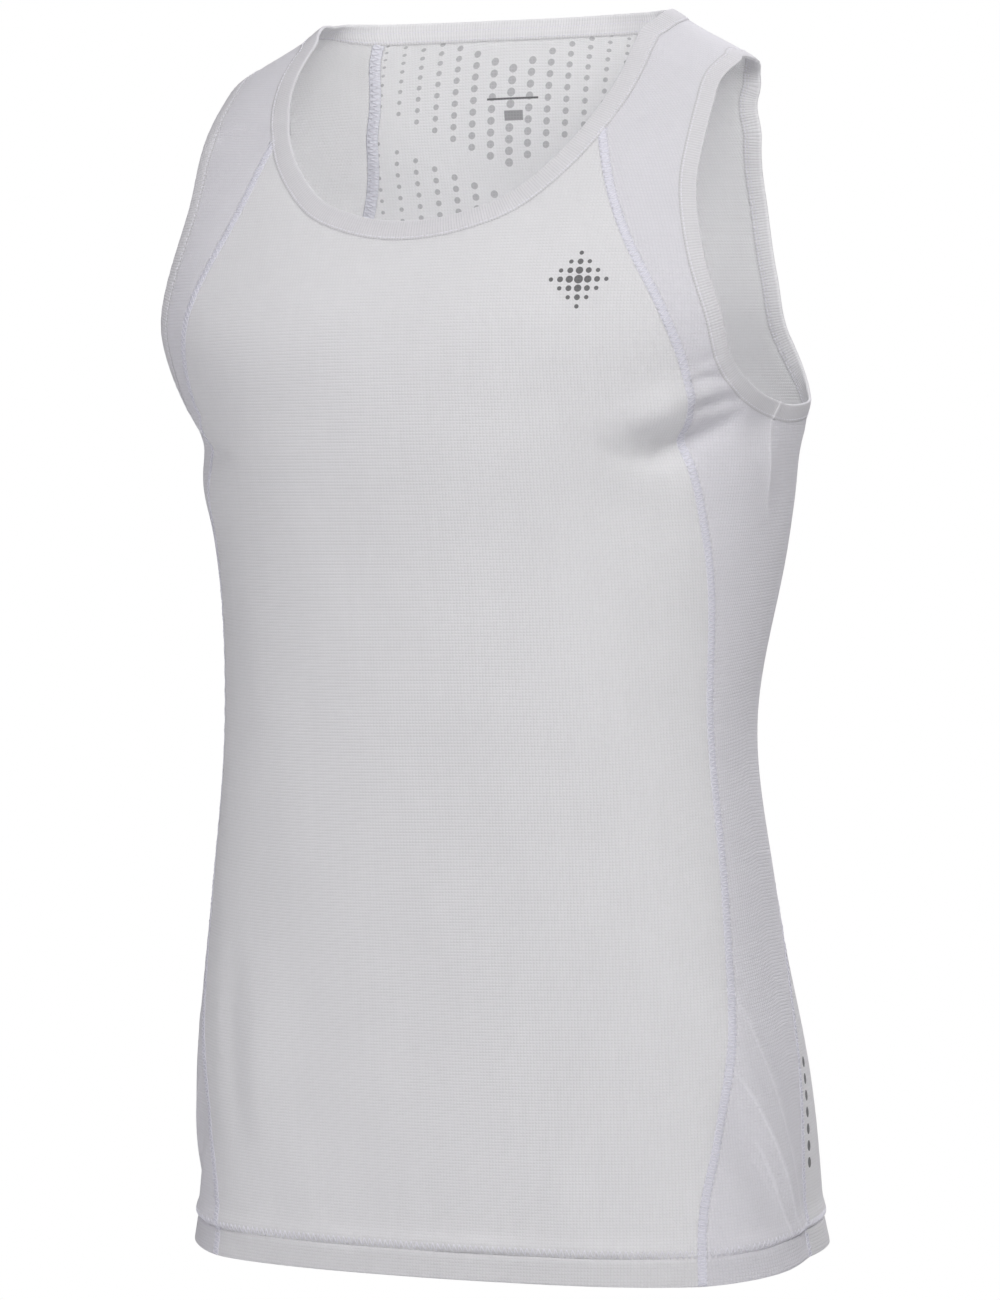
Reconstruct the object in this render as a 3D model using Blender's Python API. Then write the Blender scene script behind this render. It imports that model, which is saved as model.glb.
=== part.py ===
"""Running singlet: a sleeveless athletic top in its worn, hollow form.

Metres, +Z up. The wearer faces -Y and the wearer's left side is +X. The origin lies midway between
the two shoulders, at shoulder height, where the wearer carries the garment.

All cloth follows one body form: a stack of rounded sections, from the hem to the top of the shoulders.
A place on it is an angle and a height. The angle runs round the body from the centre front (0 degrees)
over the wearer's left side (90) to the centre back (180); the right side is the same with a minus sign.
A piece is a grid of such places between its own cut edges. Its edges are drawn in by half the seam gap,
and a Solidify modifier gives it its wall, thicker where the hem is folded up.
"""

from collections import namedtuple

import bpy
import numpy as np

# Cloth and sewing
CLOTH_WALL = 0.0012
FOLDED_WALL = 0.0021
SEAM_GAP = 0.0003
NECK_BINDING_WIDTH = 0.0115
ARM_BINDING_WIDTH = 0.0095
HEM_HEIGHT = -0.712
HEM_BACK_RISE = 0.007
HEM_DEPTH = 0.0165
HEM_STEP = 0.0006

# Body form, a row for each level, hem first. front, side and back are the Y places of the centre front,
# of the widest point and of the centre back. Squareness 2 is an ellipse, and more is boxier.
Section = namedtuple("Section", "height half_width front side back squareness")
SECTIONS = (
    Section(-0.715, 0.188, -0.108, -0.014, 0.130, 2.60),
    Section(-0.600, 0.183, -0.108, -0.015, 0.113, 2.50),
    Section(-0.500, 0.171, -0.110, -0.018, 0.088, 2.35),
    Section(-0.400, 0.162, -0.114, -0.009, 0.076, 2.25),
    Section(-0.300, 0.174, -0.119, 0.022, 0.094, 2.15),
    Section(-0.220, 0.188, -0.127, 0.025, 0.094, 2.15),
    Section(-0.160, 0.207, -0.125, 0.010, 0.074, 2.20),
    Section(-0.100, 0.201, -0.098, 0.018, 0.067, 2.30),
    Section(-0.050, 0.187, -0.063, 0.024, 0.057, 2.35),
    Section(-0.020, 0.160, -0.035, 0.033, 0.056, 2.35),
    Section(0.000, 0.125, -0.013, 0.036, 0.058, 2.35),
    Section(0.012, 0.106, 0.002, 0.034, 0.061, 2.35),
    Section(0.030, 0.058, 0.022, 0.030, 0.063, 2.35),
)

# Places along the free edges and the seams of the wearer's left half
Place = namedtuple("Place", "angle height")
NECKLINE = (
    Place(0, -0.1070),
    Place(10, -0.1025),
    Place(17, -0.0930),
    Place(24, -0.0720),
    Place(30, -0.0480),
    Place(37, -0.0230),
    Place(47, -0.0050),
    Place(60, 0.0045),
    Place(75, 0.0090),
    Place(90, 0.0105),
    Place(110, 0.0110),
    Place(140, 0.0105),
    Place(180, 0.0100),
)
ARMHOLE = (
    Place(90, -0.0205),
    Place(73, -0.0230),
    Place(62, -0.0300),
    Place(54.5, -0.0480),
    Place(50, -0.0790),
    Place(50, -0.1090),
    Place(52.3, -0.1390),
    Place(56, -0.1640),
    Place(60.5, -0.1890),
    Place(68, -0.2065),
    Place(78, -0.2165),
    Place(90, -0.2185),
    Place(103, -0.2150),
    Place(115, -0.2040),
    Place(126, -0.1820),
    Place(131, -0.1450),
    Place(132, -0.1050),
    Place(130, -0.0660),
    Place(123, -0.0390),
    Place(109, -0.0250),
)
FRONT_SEAM = (
    Place(48.5, -0.715),
    Place(50.0, -0.670),
    Place(56.0, -0.620),
    Place(63.0, -0.560),
    Place(67.5, -0.500),
    Place(69.0, -0.430),
    Place(66.5, -0.360),
    Place(60.5, -0.290),
    Place(55.0, -0.235),
    Place(51.5, -0.200),
    Place(45.0, -0.165),
    Place(37.0, -0.120),
    Place(32.5, -0.080),
    Place(30.0, -0.040),
)
BACK_SEAM = (
    Place(93.0, -0.715),
    Place(94.5, -0.650),
    Place(98.0, -0.600),
    Place(104.0, -0.550),
    Place(112.0, -0.500),
    Place(120.0, -0.440),
    Place(128.0, -0.370),
    Place(136.0, -0.290),
    Place(143.0, -0.210),
    Place(149.0, -0.130),
    Place(152.0, -0.062),
    Place(147.5, -0.020),
    Place(134.0, 0.010),
)

# Where the side panel's straps leave its body, on the seams and as shares of the armhole's run
STRAP_FOOT = -0.215
ARMHOLE_FRONT_FOOT = 0.385
ARMHOLE_BACK_FOOT = 0.615

# Largest folds: each runs from start to end, with a rounded section across (width) and a taper along.
# A negative depth is a trough. Angles are signed, because the two sides don't fold alike.
Fold = namedtuple("Fold", "start_angle start_height end_angle end_height width depth")
FOLDS = (
    Fold(80, -0.226, 42, -0.242, 0.012, -0.0065),
    Fold(84, -0.247, 50, -0.268, 0.016, 0.0045),
    Fold(60, -0.206, 44, -0.214, 0.011, 0.0030),
    Fold(60, -0.555, 88, -0.695, 0.010, 0.0030),
    Fold(54, -0.600, 80, -0.708, 0.010, -0.0032),
    Fold(96, -0.236, 130, -0.270, 0.016, -0.0028),
    Fold(-78, -0.228, -44, -0.246, 0.013, -0.0055),
    Fold(-82, -0.250, -52, -0.272, 0.017, 0.0022),
    Fold(-62, -0.570, -90, -0.698, 0.011, 0.0018),
    Fold(-56, -0.615, -80, -0.706, 0.011, -0.0028),
    Fold(-98, -0.240, -132, -0.280, 0.017, -0.0028),
    Fold(-36, -0.520, -42, -0.705, 0.024, 0.0040),
    Fold(150, -0.370, 128, -0.440, 0.022, 0.0030),
    Fold(-152, -0.385, -126, -0.430, 0.020, 0.0030),
)

# The cloth hangs a little askew below this height: so much lower on the wearer's left for each metre across
HANG_TILT = 0.024
TILT_START = -0.350

# Faces along and across the pieces
FACES_HEM = 1
FACES_BODY = 20
FACES_FRONT_STRAP_SEAM = 8
FACES_FRONT_STRAP_NECK = 6
FACES_BACK_STRAP_SEAM = 9
FACES_BACK_STRAP_NECK = 3
FACES_HALF_FRONT = 10
FACES_HALF_BACK = 13
FACES_STRAP_ACROSS = 4
FACES_UNDERARM = 8
FACES_BINDING_ACROSS = 2
SHOULDER_CROWDING = 1.35
UNDERARM_CROWDING = 1.25

# Points on a line that is only measured and read, and short steps for slopes on the form
DENSE = 281
SLOPE_TURN = 0.05
SLOPE_RISE = 0.0005
FOLD_END = 0.02
FOLD_FULLNESS = 0.8

CLOTH_COLOUR = (0.72, 0.72, 0.74, 1.0)
SIDE_COLOUR = (0.66, 0.66, 0.70, 1.0)
BINDING_COLOUR = (0.68, 0.68, 0.73, 1.0)
CLOTH_ROUGHNESS = 0.8
BINDING_ROUGHNESS = 0.7


def cubic_through(keys, values, at):
    """A smooth curve through the values: cubic pieces, each slope taken from the neighbouring keys."""
    slopes = np.gradient(values, keys, axis=0)
    left = np.clip(np.searchsorted(keys, at) - 1, 0, len(keys) - 2)
    span = keys[left + 1] - keys[left]
    share = np.clip((at - keys[left]) / span, 0.0, 1.0)
    if values.ndim > 1:
        share = share[:, None]
        span = span[:, None]
    return (
        values[left] * (2 * share**3 - 3 * share**2 + 1)
        + slopes[left] * span * (share**3 - 2 * share**2 + share)
        + values[left + 1] * (3 * share**2 - 2 * share**3)
        + slopes[left + 1] * span * (share**3 - share**2)
    )


def column(rows, name):
    return np.array([getattr(row, name) for row in rows], float)


def section_value(name, height):
    return cubic_through(column(SECTIONS, "height"), column(SECTIONS, name), height)


def body_form(angle, height):
    """Points of the form.

    Each section is a superellipse read by polar angle, with its own depth in front and at the back.
    """
    angle, height = np.broadcast_arrays(np.asarray(angle, float), np.asarray(height, float))
    sine = np.sin(np.radians(angle))
    cosine = np.cos(np.radians(angle))
    power = section_value("squareness", height)
    reach = (np.abs(sine) ** power + np.abs(cosine) ** power) ** (-1 / power)
    side = section_value("side", height)
    depth = np.where(cosine > 0, side - section_value("front", height), section_value("back", height) - side)
    across = section_value("half_width", height) * reach * sine
    return np.stack([across, side - depth * reach * cosine, height], axis=-1)


def form_slopes(angle, height):
    """The form's slope for each degree and for each metre of height."""
    by_angle = body_form(angle + SLOPE_TURN, height) - body_form(angle - SLOPE_TURN, height)
    by_height = body_form(angle, height + SLOPE_RISE) - body_form(angle, height - SLOPE_RISE)
    return by_angle / (2 * SLOPE_TURN), by_height / (2 * SLOPE_RISE)


def form_normal(angle, height):
    by_angle, by_height = form_slopes(angle, height)
    normal = np.cross(by_angle, by_height)
    return normal / np.linalg.norm(normal, axis=-1, keepdims=True)


def dot(a, b):
    return np.sum(a * b, axis=-1)


def moved_along_form(places, move):
    """The places reached from `places` by short 3D moves that lie along the form."""
    by_angle, by_height = form_slopes(places[:, 0], places[:, 1])
    aa = dot(by_angle, by_angle)
    hh = dot(by_height, by_height)
    ah = dot(by_angle, by_height)
    am = dot(by_angle, move)
    hm = dot(by_height, move)
    share = aa * hh - ah**2
    return places + np.stack([(hh * am - ah * hm) / share, (aa * hm - ah * am) / share], axis=-1)


def beside(places, width, closed):
    """The line that runs `width` beside a line of places, on its outer side, reached in short steps."""
    steps = 6
    for _ in range(steps):
        points = body_form(places[:, 0], places[:, 1])
        if closed:
            along = np.roll(points, -1, axis=0) - np.roll(points, 1, axis=0)
        else:
            along = np.gradient(points, axis=0)
        across = np.cross(along, form_normal(places[:, 0], places[:, 1]))
        across /= np.linalg.norm(across, axis=-1, keepdims=True)
        places = moved_along_form(places, across * width / steps)
    return places


def run_length(places):
    """Distance along a line of places, measured on the form."""
    steps = np.linalg.norm(np.diff(body_form(places[:, 0], places[:, 1]), axis=0), axis=-1)
    return np.concatenate([[0.0], np.cumsum(steps)])


def table_places(rows):
    return np.stack([column(rows, "angle"), column(rows, "height")], axis=-1)


def read_line(line, shares):
    """Places on a dense line at the given shares of its length."""
    length = run_length(line)
    at = np.asarray(shares) * length[-1]
    return np.stack([np.interp(at, length, line[:, 0]), np.interp(at, length, line[:, 1])], axis=-1)


def neck_lines():
    """Free and sewn edge of the neck binding, centre front to centre back, place for place."""
    beyond = 10
    angles = np.linspace(-beyond, 180 + beyond, DENSE)
    rows = table_places(NECKLINE)
    before = rows[1:3][::-1] * (-1, 1)
    after = rows[-3:-1][::-1] * (-1, 1) + (360, 0)
    rows = np.concatenate([before, rows, after])
    free = np.stack([angles, cubic_through(rows[:, 0], rows[:, 1], angles)], axis=-1)
    sewn = beside(free, NECK_BINDING_WIDTH, closed=False)
    kept = slice(np.argmin(np.abs(angles)), np.argmin(np.abs(angles - 180)) + 1)
    free = free[kept]
    sewn = sewn[kept]
    free[[0, -1], 0] = sewn[[0, -1], 0] = 0, 180
    return free, sewn


def armhole_lines():
    """Free and sewn edge of the left armhole binding: shoulder, front, underarm, back, shoulder."""
    rows = table_places(ARMHOLE)
    wrapped = np.concatenate([rows[-3:], rows, rows[:4]])
    length = run_length(wrapped)
    start = length[3]
    end = length[3 + len(rows)]
    at = np.linspace(start, end, DENSE)[:-1]
    free = cubic_through(length, wrapped, at)
    sewn = beside(free, ARM_BINDING_WIDTH, closed=True)
    return np.concatenate([free, free[:1]]), np.concatenate([sewn, sewn[:1]])


def hem_rise(angle):
    """The hem is level over the front panel, climbs over the side panels and is level over the back."""
    round_body = np.abs((angle + 180) % 360 - 180)
    return HEM_BACK_RISE * np.clip(
        (round_body - FRONT_SEAM[0].angle) / (BACK_SEAM[0].angle - FRONT_SEAM[0].angle), 0, 1
    )


def seam_angle(rows, height):
    places = table_places(rows)
    return cubic_through(places[:, 1], places[:, 0], height)


def meeting(line, rows):
    """Index on the sewn neck line where a princess seam reaches it."""
    beyond = line[:, 0] > seam_angle(rows, line[:, 1])
    return int(np.argmax(beyond[1:] != beyond[:-1])) + 1


def spread(start, end, faces, crowding=1.0):
    """Steps from start to end, both included. A crowding over 1 sets them closer near the start."""
    return start + (end - start) * np.linspace(0, 1, faces + 1) ** crowding


def patch(bottom, top, first, last):
    """Places between four edges: a Coons patch, its shares read from the lengths of the edges.

    first and last run from bottom to top, and bottom and top from first to last.
    """

    def shares(one, other):
        lengths = [run_length(line) / run_length(line)[-1] for line in (one, other)]
        return (lengths[0] + lengths[1]) / 2

    s = shares(bottom, top)[None, :, None]
    t = shares(first, last)[:, None, None]
    corners = (1 - t) * ((1 - s) * bottom[0] + s * bottom[-1]) + t * ((1 - s) * top[0] + s * top[-1])
    return (1 - t) * bottom + t * top + (1 - s) * first[:, None] + s * last[:, None] - corners


class Pattern:
    """Cut edges of the wearer's left half, as lines of places that neighbouring pieces share."""

    def __init__(self):
        neck_free, neck_sewn = neck_lines()
        front_meet = meeting(neck_sewn, FRONT_SEAM)
        back_meet = meeting(neck_sewn, BACK_SEAM)
        shoulder = int(np.argmin(np.abs(neck_sewn[:, 0] - 90)))
        stops = (0, front_meet, shoulder, back_meet, len(neck_sewn) - 1)
        faces = (FACES_HALF_FRONT, FACES_FRONT_STRAP_NECK, FACES_BACK_STRAP_NECK, FACES_HALF_BACK)
        self.neck_free = []
        self.neck_sewn = []
        for start, end, count in zip(stops[:-1], stops[1:], faces):
            self.neck_sewn.append(read_line(neck_sewn[start : end + 1], spread(0, 1, count)))
            self.neck_free.append(read_line(neck_free[start : end + 1], spread(0, 1, count)))
        arm_free, arm_sewn = armhole_lines()
        front = FACES_FRONT_STRAP_SEAM + FACES_FRONT_STRAP_NECK
        back = FACES_BACK_STRAP_SEAM + FACES_BACK_STRAP_NECK
        runs = (
            spread(0, ARMHOLE_FRONT_FOOT, front, SHOULDER_CROWDING),
            spread(ARMHOLE_FRONT_FOOT, ARMHOLE_BACK_FOOT, FACES_UNDERARM),
            spread(1, ARMHOLE_BACK_FOOT, back, SHOULDER_CROWDING)[::-1],
        )
        self.arm_sewn = [read_line(arm_sewn, run) for run in runs]
        self.arm_free = [read_line(arm_free, run) for run in runs]
        self.front_seam = self.seam(FRONT_SEAM, self.neck_sewn[0][-1], FACES_FRONT_STRAP_SEAM)
        self.back_seam = self.seam(BACK_SEAM, self.neck_sewn[3][0], FACES_BACK_STRAP_SEAM)

    @staticmethod
    def seam(rows, top, faces_above):
        """A princess seam from the hem to the neck: hem, hem line, strap foot and top among its places."""
        hem = HEM_HEIGHT + hem_rise(rows[0].angle)
        hem_line = hem + HEM_DEPTH
        heights = np.concatenate(
            [
                spread(hem, hem_line - HEM_STEP / 2, FACES_HEM),
                spread(STRAP_FOOT, hem_line + HEM_STEP / 2, FACES_BODY, UNDERARM_CROWDING)[::-1],
                spread(STRAP_FOOT, top[1], faces_above)[1:],
            ]
        )
        line = np.stack([seam_angle(rows, heights), heights], axis=-1)
        line[-1] = top
        return line

    @property
    def foot(self):
        """Index of the strap foot on both seams."""
        return FACES_HEM + 1 + FACES_BODY


def straight(first, last, faces):
    """A line between two places, in even steps."""
    return first + (last - first) * np.linspace(0, 1, faces + 1)[:, None]


def body_grid(first, last, top):
    """Rows from the hem up to a top edge: the folded hem has level rows, and a patch fills the rest."""
    faces = len(top) - 1
    hem_rows = [straight(first[i], last[i], faces) for i in range(FACES_HEM + 1)]
    above = FACES_HEM + 1
    bottom = straight(first[above], last[above], faces)
    return np.concatenate([np.stack(hem_rows), patch(bottom, top, first[above:], last[above:])])


def mirrored(line):
    return line * (-1, 1)


def front_grid(cut):
    half = cut.neck_sewn[0]
    top = np.concatenate([mirrored(half[::-1]), half[1:]])
    return body_grid(mirrored(cut.front_seam), cut.front_seam, top)


def back_grid(cut):
    half = cut.neck_sewn[3]
    top = np.concatenate([half, (mirrored(half[::-1]) + (360, 0))[1:]])
    return body_grid(cut.back_seam, mirrored(cut.back_seam) + (360, 0), top)


def side_grids(cut):
    """The body below the arm, then the front strap and the back strap, up to the shoulder line."""
    foot = cut.foot
    front_foot = straight(cut.front_seam[foot], cut.arm_sewn[0][-1], FACES_STRAP_ACROSS)
    back_foot = straight(cut.arm_sewn[2][0], cut.back_seam[foot], FACES_STRAP_ACROSS)
    top = np.concatenate([front_foot, cut.arm_sewn[1][1:], back_foot[1:]])
    body = body_grid(cut.front_seam[: foot + 1], cut.back_seam[: foot + 1], top)
    neck_side = np.concatenate([cut.front_seam[foot:], cut.neck_sewn[1][1:]])
    arm_side = cut.arm_sewn[0][::-1]
    shoulder = straight(neck_side[-1], arm_side[-1], FACES_STRAP_ACROSS)
    front_strap = patch(front_foot, shoulder, neck_side, arm_side)
    neck_side = np.concatenate([cut.back_seam[foot:], cut.neck_sewn[2][::-1][1:]])
    arm_side = cut.arm_sewn[2]
    shoulder = straight(arm_side[-1], neck_side[-1], FACES_STRAP_ACROSS)
    back_strap = patch(back_foot, shoulder, arm_side, neck_side)
    return [body, front_strap, back_strap]


def ring_grid(lower, upper):
    """Rows across a binding, from one edge to the other."""
    shares = spread(0, 1, FACES_BINDING_ACROSS)[:, None, None]
    return lower * (1 - shares) + upper * shares


def neck_grid(cut):
    def loop(parts):
        half = np.concatenate([parts[0]] + [part[1:] for part in parts[1:]])
        other = mirrored(half[::-1]) + (360, 0)
        return np.concatenate([half, other[1:]])

    return ring_grid(loop(cut.neck_sewn), loop(cut.neck_free))


def arm_grid(cut):
    def loop(parts):
        return np.concatenate([parts[0]] + [part[1:] for part in parts[1:]])

    return ring_grid(loop(cut.arm_sewn), loop(cut.arm_free))


def fold_height(points, angle, height):
    """How far the folds move the cloth: a bell across each fold, and a rounded taper towards its ends."""
    signed = (angle + 180) % 360 - 180
    moved = np.zeros(len(points))
    for fold in FOLDS:
        start = body_form(fold.start_angle, fold.start_height)
        run = body_form(fold.end_angle, fold.end_height) - start
        share = np.clip(dot(points - start, run) / dot(run, run), 0.0, 1.0)
        aside = np.linalg.norm(points - start - share[:, None] * run, axis=-1)
        same_side = np.sign(signed) == np.sign(fold.start_angle)
        taper = np.sin(np.pi * np.clip(share, FOLD_END, 1 - FOLD_END)) ** FOLD_FULLNESS
        moved += np.where(same_side, fold.depth * taper * np.exp(-((aside / fold.width) ** 2)), 0.0)
    return moved


def cloth_points(places):
    """The cloth's middle surface: the form, moved out or in by the folds and hung askew."""
    angle = places[:, 0]
    height = places[:, 1]
    points = body_form(angle, height)
    points += form_normal(angle, height) * fold_height(points, angle, height)[:, None]
    share = np.clip((TILT_START - height) / (TILT_START - HEM_HEIGHT), 0.0, 1.0)
    points[:, 2] -= HANG_TILT * share * points[:, 0]
    return points


def grid_faces(rows, columns, first):
    corner = first + np.arange(rows * columns).reshape(rows, columns)
    quads = np.stack([corner[:-1, :-1], corner[:-1, 1:], corner[1:, 1:], corner[1:, :-1]], axis=-1)
    return quads.reshape(-1, 4)


def joined(grids):
    """One sheet of places and faces from grids that share edges. Places that coincide become one."""
    places = np.concatenate([grid.reshape(-1, 2) for grid in grids])
    first = 0
    faces = []
    for grid in grids:
        faces.append(grid_faces(grid.shape[0], grid.shape[1], first))
        first += grid.shape[0] * grid.shape[1]
    wrapped = np.stack([places[:, 0] % 360, places[:, 1]], axis=-1)
    _, kept, index = np.unique(np.round(wrapped, 6) % 360, axis=0, return_index=True, return_inverse=True)
    return places[kept], index.reshape(-1)[np.concatenate(faces)]


def drawn_in(points, faces, distance):
    """Moves the edge of a sheet inwards along the cloth, square to each edge and mitred at corners."""
    ends = np.stack([faces, np.roll(faces, -1, axis=1)], axis=-1).reshape(-1, 2)
    corners = points[faces]
    normals = np.cross(corners[:, 2] - corners[:, 0], corners[:, 3] - corners[:, 1])
    normals = np.repeat(normals / np.linalg.norm(normals, axis=-1, keepdims=True), 4, axis=0)
    _, index, count = np.unique(np.sort(ends, axis=1), axis=0, return_inverse=True, return_counts=True)
    border = count[index.reshape(-1)] == 1
    ends = ends[border]
    inward = np.cross(normals[border], points[ends[:, 1]] - points[ends[:, 0]])
    inward /= np.linalg.norm(inward, axis=-1, keepdims=True)
    total = np.zeros_like(points)
    np.add.at(total, ends[:, 0], inward)
    np.add.at(total, ends[:, 1], inward)
    size = dot(total, total)
    inside = size == 0
    size[inside] = 1.0
    return points + total * (2 * distance / size)[:, None]


def fabric(name, colour, roughness):
    material = bpy.data.materials.new(name)
    material.use_nodes = True
    shader = material.node_tree.nodes["Principled BSDF"]
    shader.inputs["Base Color"].default_value = colour
    shader.inputs["Roughness"].default_value = roughness
    shader.inputs["Metallic"].default_value = 0.0
    return material


def sew(name, grids, material, side=1, folded=False):
    """A named cloth object from its grids.

    side is 1 for the wearer's left half, and -1 mirrors it. A folded piece is double all over, and
    the others only in their turned-up hem.
    """
    places, faces = joined(grids)
    if side < 0:
        places = mirrored(places)
        faces = faces[:, ::-1]
    points = drawn_in(cloth_points(places), faces, SEAM_GAP / 2)
    mesh = bpy.data.meshes.new(name)
    mesh.from_pydata(points.tolist(), [], faces.tolist())
    mesh.shade_smooth()
    mesh.materials.append(material)
    piece = bpy.data.objects.new(name, mesh)
    bpy.context.scene.collection.objects.link(piece)
    group = piece.vertex_groups.new(name="doubled")
    doubled = folded | (places[:, 1] < HEM_HEIGHT + HEM_DEPTH + hem_rise(places[:, 0]))
    group.add(np.flatnonzero(doubled).tolist(), 1.0, "REPLACE")
    solid = piece.modifiers.new("Wall", "SOLIDIFY")
    solid.thickness = FOLDED_WALL
    solid.offset = 0.0
    solid.vertex_group = group.name
    solid.thickness_vertex_group = CLOTH_WALL / FOLDED_WALL
    solid.use_even_offset = False
    return piece


def clear_scene():
    for thing in list(bpy.data.objects):
        bpy.data.objects.remove(thing)


def main():
    clear_scene()
    cut = Pattern()
    sew("front_panel", [front_grid(cut)], fabric("front_cloth", CLOTH_COLOUR, CLOTH_ROUGHNESS))
    sew("back_panel", [back_grid(cut)], fabric("back_cloth", CLOTH_COLOUR, CLOTH_ROUGHNESS))
    binding = fabric("neck_binding_cloth", BINDING_COLOUR, BINDING_ROUGHNESS)
    sew("neck_binding", [neck_grid(cut)], binding, folded=True)
    for word, side in (("left", 1), ("right", -1)):
        cloth = fabric("side_cloth_" + word, SIDE_COLOUR, CLOTH_ROUGHNESS)
        sew("side_panel_" + word, side_grids(cut), cloth, side)
        binding = fabric("armhole_binding_cloth_" + word, BINDING_COLOUR, BINDING_ROUGHNESS)
        sew("armhole_binding_" + word, [arm_grid(cut)], binding, side, folded=True)


if __name__ == "__main__":
    main()
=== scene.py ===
"""Running singlet: cloth shells, folded bindings, seams, stitching and prints, worked out on the body form.

Metres, +Z up. The wearer faces -Y and the wearer's left side is +X. A place on the cloth is an angle and a
height. The angle runs round the body from the centre front (0 degrees) over the wearer's left side (90) to
the centre back (180), and the right side is the same with a minus sign.
"""

from collections import namedtuple
from functools import cache
from math import pi, radians

import bpy
import numpy as np
from bpy.props import FloatProperty, FloatVectorProperty, PointerProperty
from mathutils import Matrix, Vector


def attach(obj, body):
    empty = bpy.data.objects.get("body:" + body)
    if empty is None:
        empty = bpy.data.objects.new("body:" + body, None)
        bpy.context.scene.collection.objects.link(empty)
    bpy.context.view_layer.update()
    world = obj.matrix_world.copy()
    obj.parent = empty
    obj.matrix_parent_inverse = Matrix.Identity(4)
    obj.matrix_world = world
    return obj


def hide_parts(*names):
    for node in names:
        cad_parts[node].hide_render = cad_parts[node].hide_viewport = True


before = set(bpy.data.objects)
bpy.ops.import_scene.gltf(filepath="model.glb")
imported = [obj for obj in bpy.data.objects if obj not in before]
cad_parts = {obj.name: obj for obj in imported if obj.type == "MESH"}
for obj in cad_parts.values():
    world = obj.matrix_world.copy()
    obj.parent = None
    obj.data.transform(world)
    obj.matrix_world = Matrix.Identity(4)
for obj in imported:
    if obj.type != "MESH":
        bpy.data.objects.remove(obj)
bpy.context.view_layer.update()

bl_info = {
    "name": "Running Singlet",
    "version": (1, 0, 0),
    "blender": (4, 5, 0),
    "location": "3D View > Sidebar > Singlet",
    "description": "Dresses the packed running singlet: knit panels, folded bindings, seams and stitching",
    "category": "Add Mesh",
}

# ------------------------------------------------------------------------------ sizes of the cut

HEM_HEIGHT = -0.712
HEM_BACK_RISE = 0.007
HEM_FOLD = 0.0155
SEAM_GAP = 0.0003

# Body form, a row for each level, hem first. front, side and back are the Y places of the centre front,
# of the widest point and of the centre back. Squareness 2 is an ellipse, and more is boxier.
Section = namedtuple("Section", "height half_width front side back squareness")
SECTIONS = [Section(*row) for row in (
    (-0.715, 0.188, -0.108, -0.014, 0.130, 2.60),
    (-0.600, 0.183, -0.108, -0.015, 0.113, 2.50),
    (-0.500, 0.171, -0.110, -0.018, 0.088, 2.35),
    (-0.400, 0.162, -0.114, -0.009, 0.076, 2.25),
    (-0.300, 0.174, -0.119, 0.022, 0.094, 2.15),
    (-0.220, 0.188, -0.127, 0.025, 0.094, 2.15),
    (-0.160, 0.207, -0.125, 0.010, 0.074, 2.20),
    (-0.100, 0.201, -0.098, 0.018, 0.067, 2.30),
    (-0.050, 0.187, -0.063, 0.024, 0.057, 2.35),
    (-0.020, 0.160, -0.035, 0.033, 0.056, 2.35),
    (0.000, 0.125, -0.013, 0.036, 0.058, 2.35),
    (0.012, 0.106, 0.002, 0.034, 0.061, 2.35),
    (0.030, 0.058, 0.022, 0.030, 0.063, 2.35),
)]

# Places along the free edges and the seams of the wearer's left half: angle, height
NECKLINE = (
    (0, -0.1070), (10, -0.1025), (17, -0.0930), (24, -0.0720), (30, -0.0480), (37, -0.0230), (47, -0.0050),
    (60, 0.0045), (75, 0.0090), (90, 0.0105), (110, 0.0110), (140, 0.0105), (180, 0.0100),
)
ARMHOLE = (
    (90, -0.0205), (73, -0.0230), (62, -0.0300), (54.5, -0.0480), (50, -0.0790), (50, -0.1090),
    (52.3, -0.1390), (56, -0.1640), (60.5, -0.1890), (68, -0.2065), (78, -0.2165), (90, -0.2185),
    (103, -0.2150), (115, -0.2040), (126, -0.1820), (131, -0.1450), (132, -0.1050), (130, -0.0660),
    (123, -0.0390), (109, -0.0250),
)
FRONT_SEAM = (
    (48.5, -0.715), (50.0, -0.670), (56.0, -0.620), (63.0, -0.560), (67.5, -0.500), (69.0, -0.430),
    (66.5, -0.360), (60.5, -0.290), (55.0, -0.235), (51.5, -0.200), (45.0, -0.165), (37.0, -0.120),
    (32.5, -0.080), (30.0, -0.040),
)
BACK_SEAM = (
    (93.0, -0.715), (94.5, -0.650), (98.0, -0.600), (104.0, -0.550), (112.0, -0.500), (120.0, -0.440),
    (128.0, -0.370), (136.0, -0.290), (143.0, -0.210), (149.0, -0.130), (152.0, -0.062), (147.5, -0.020),
    (134.0, 0.010),
)
STRAP_FOOT = -0.215
ARMHOLE_FRONT_FOOT = 0.385
ARMHOLE_BACK_FOOT = 0.615

# Largest folds, straight from start to end. A negative depth is a trough. Angles are signed.
Fold = namedtuple("Fold", "start_angle start_height end_angle end_height width depth")
FOLDS = [Fold(*row) for row in (
    (80, -0.226, 42, -0.242, 0.012, -0.0065),
    (84, -0.247, 50, -0.268, 0.016, 0.0045),
    (60, -0.206, 44, -0.214, 0.011, 0.0030),
    (60, -0.555, 88, -0.695, 0.010, 0.0030),
    (54, -0.600, 80, -0.708, 0.010, -0.0032),
    (96, -0.236, 130, -0.270, 0.016, -0.0028),
    (-78, -0.228, -44, -0.246, 0.013, -0.0055),
    (-82, -0.250, -52, -0.272, 0.017, 0.0022),
    (-62, -0.570, -90, -0.698, 0.011, 0.0018),
    (-56, -0.615, -80, -0.706, 0.011, -0.0028),
    (-98, -0.240, -132, -0.280, 0.017, -0.0028),
    (-36, -0.520, -42, -0.705, 0.024, 0.0040),
    (150, -0.370, 128, -0.440, 0.022, 0.0030),
    (-152, -0.385, -126, -0.430, 0.020, 0.0030),
)]
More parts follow.
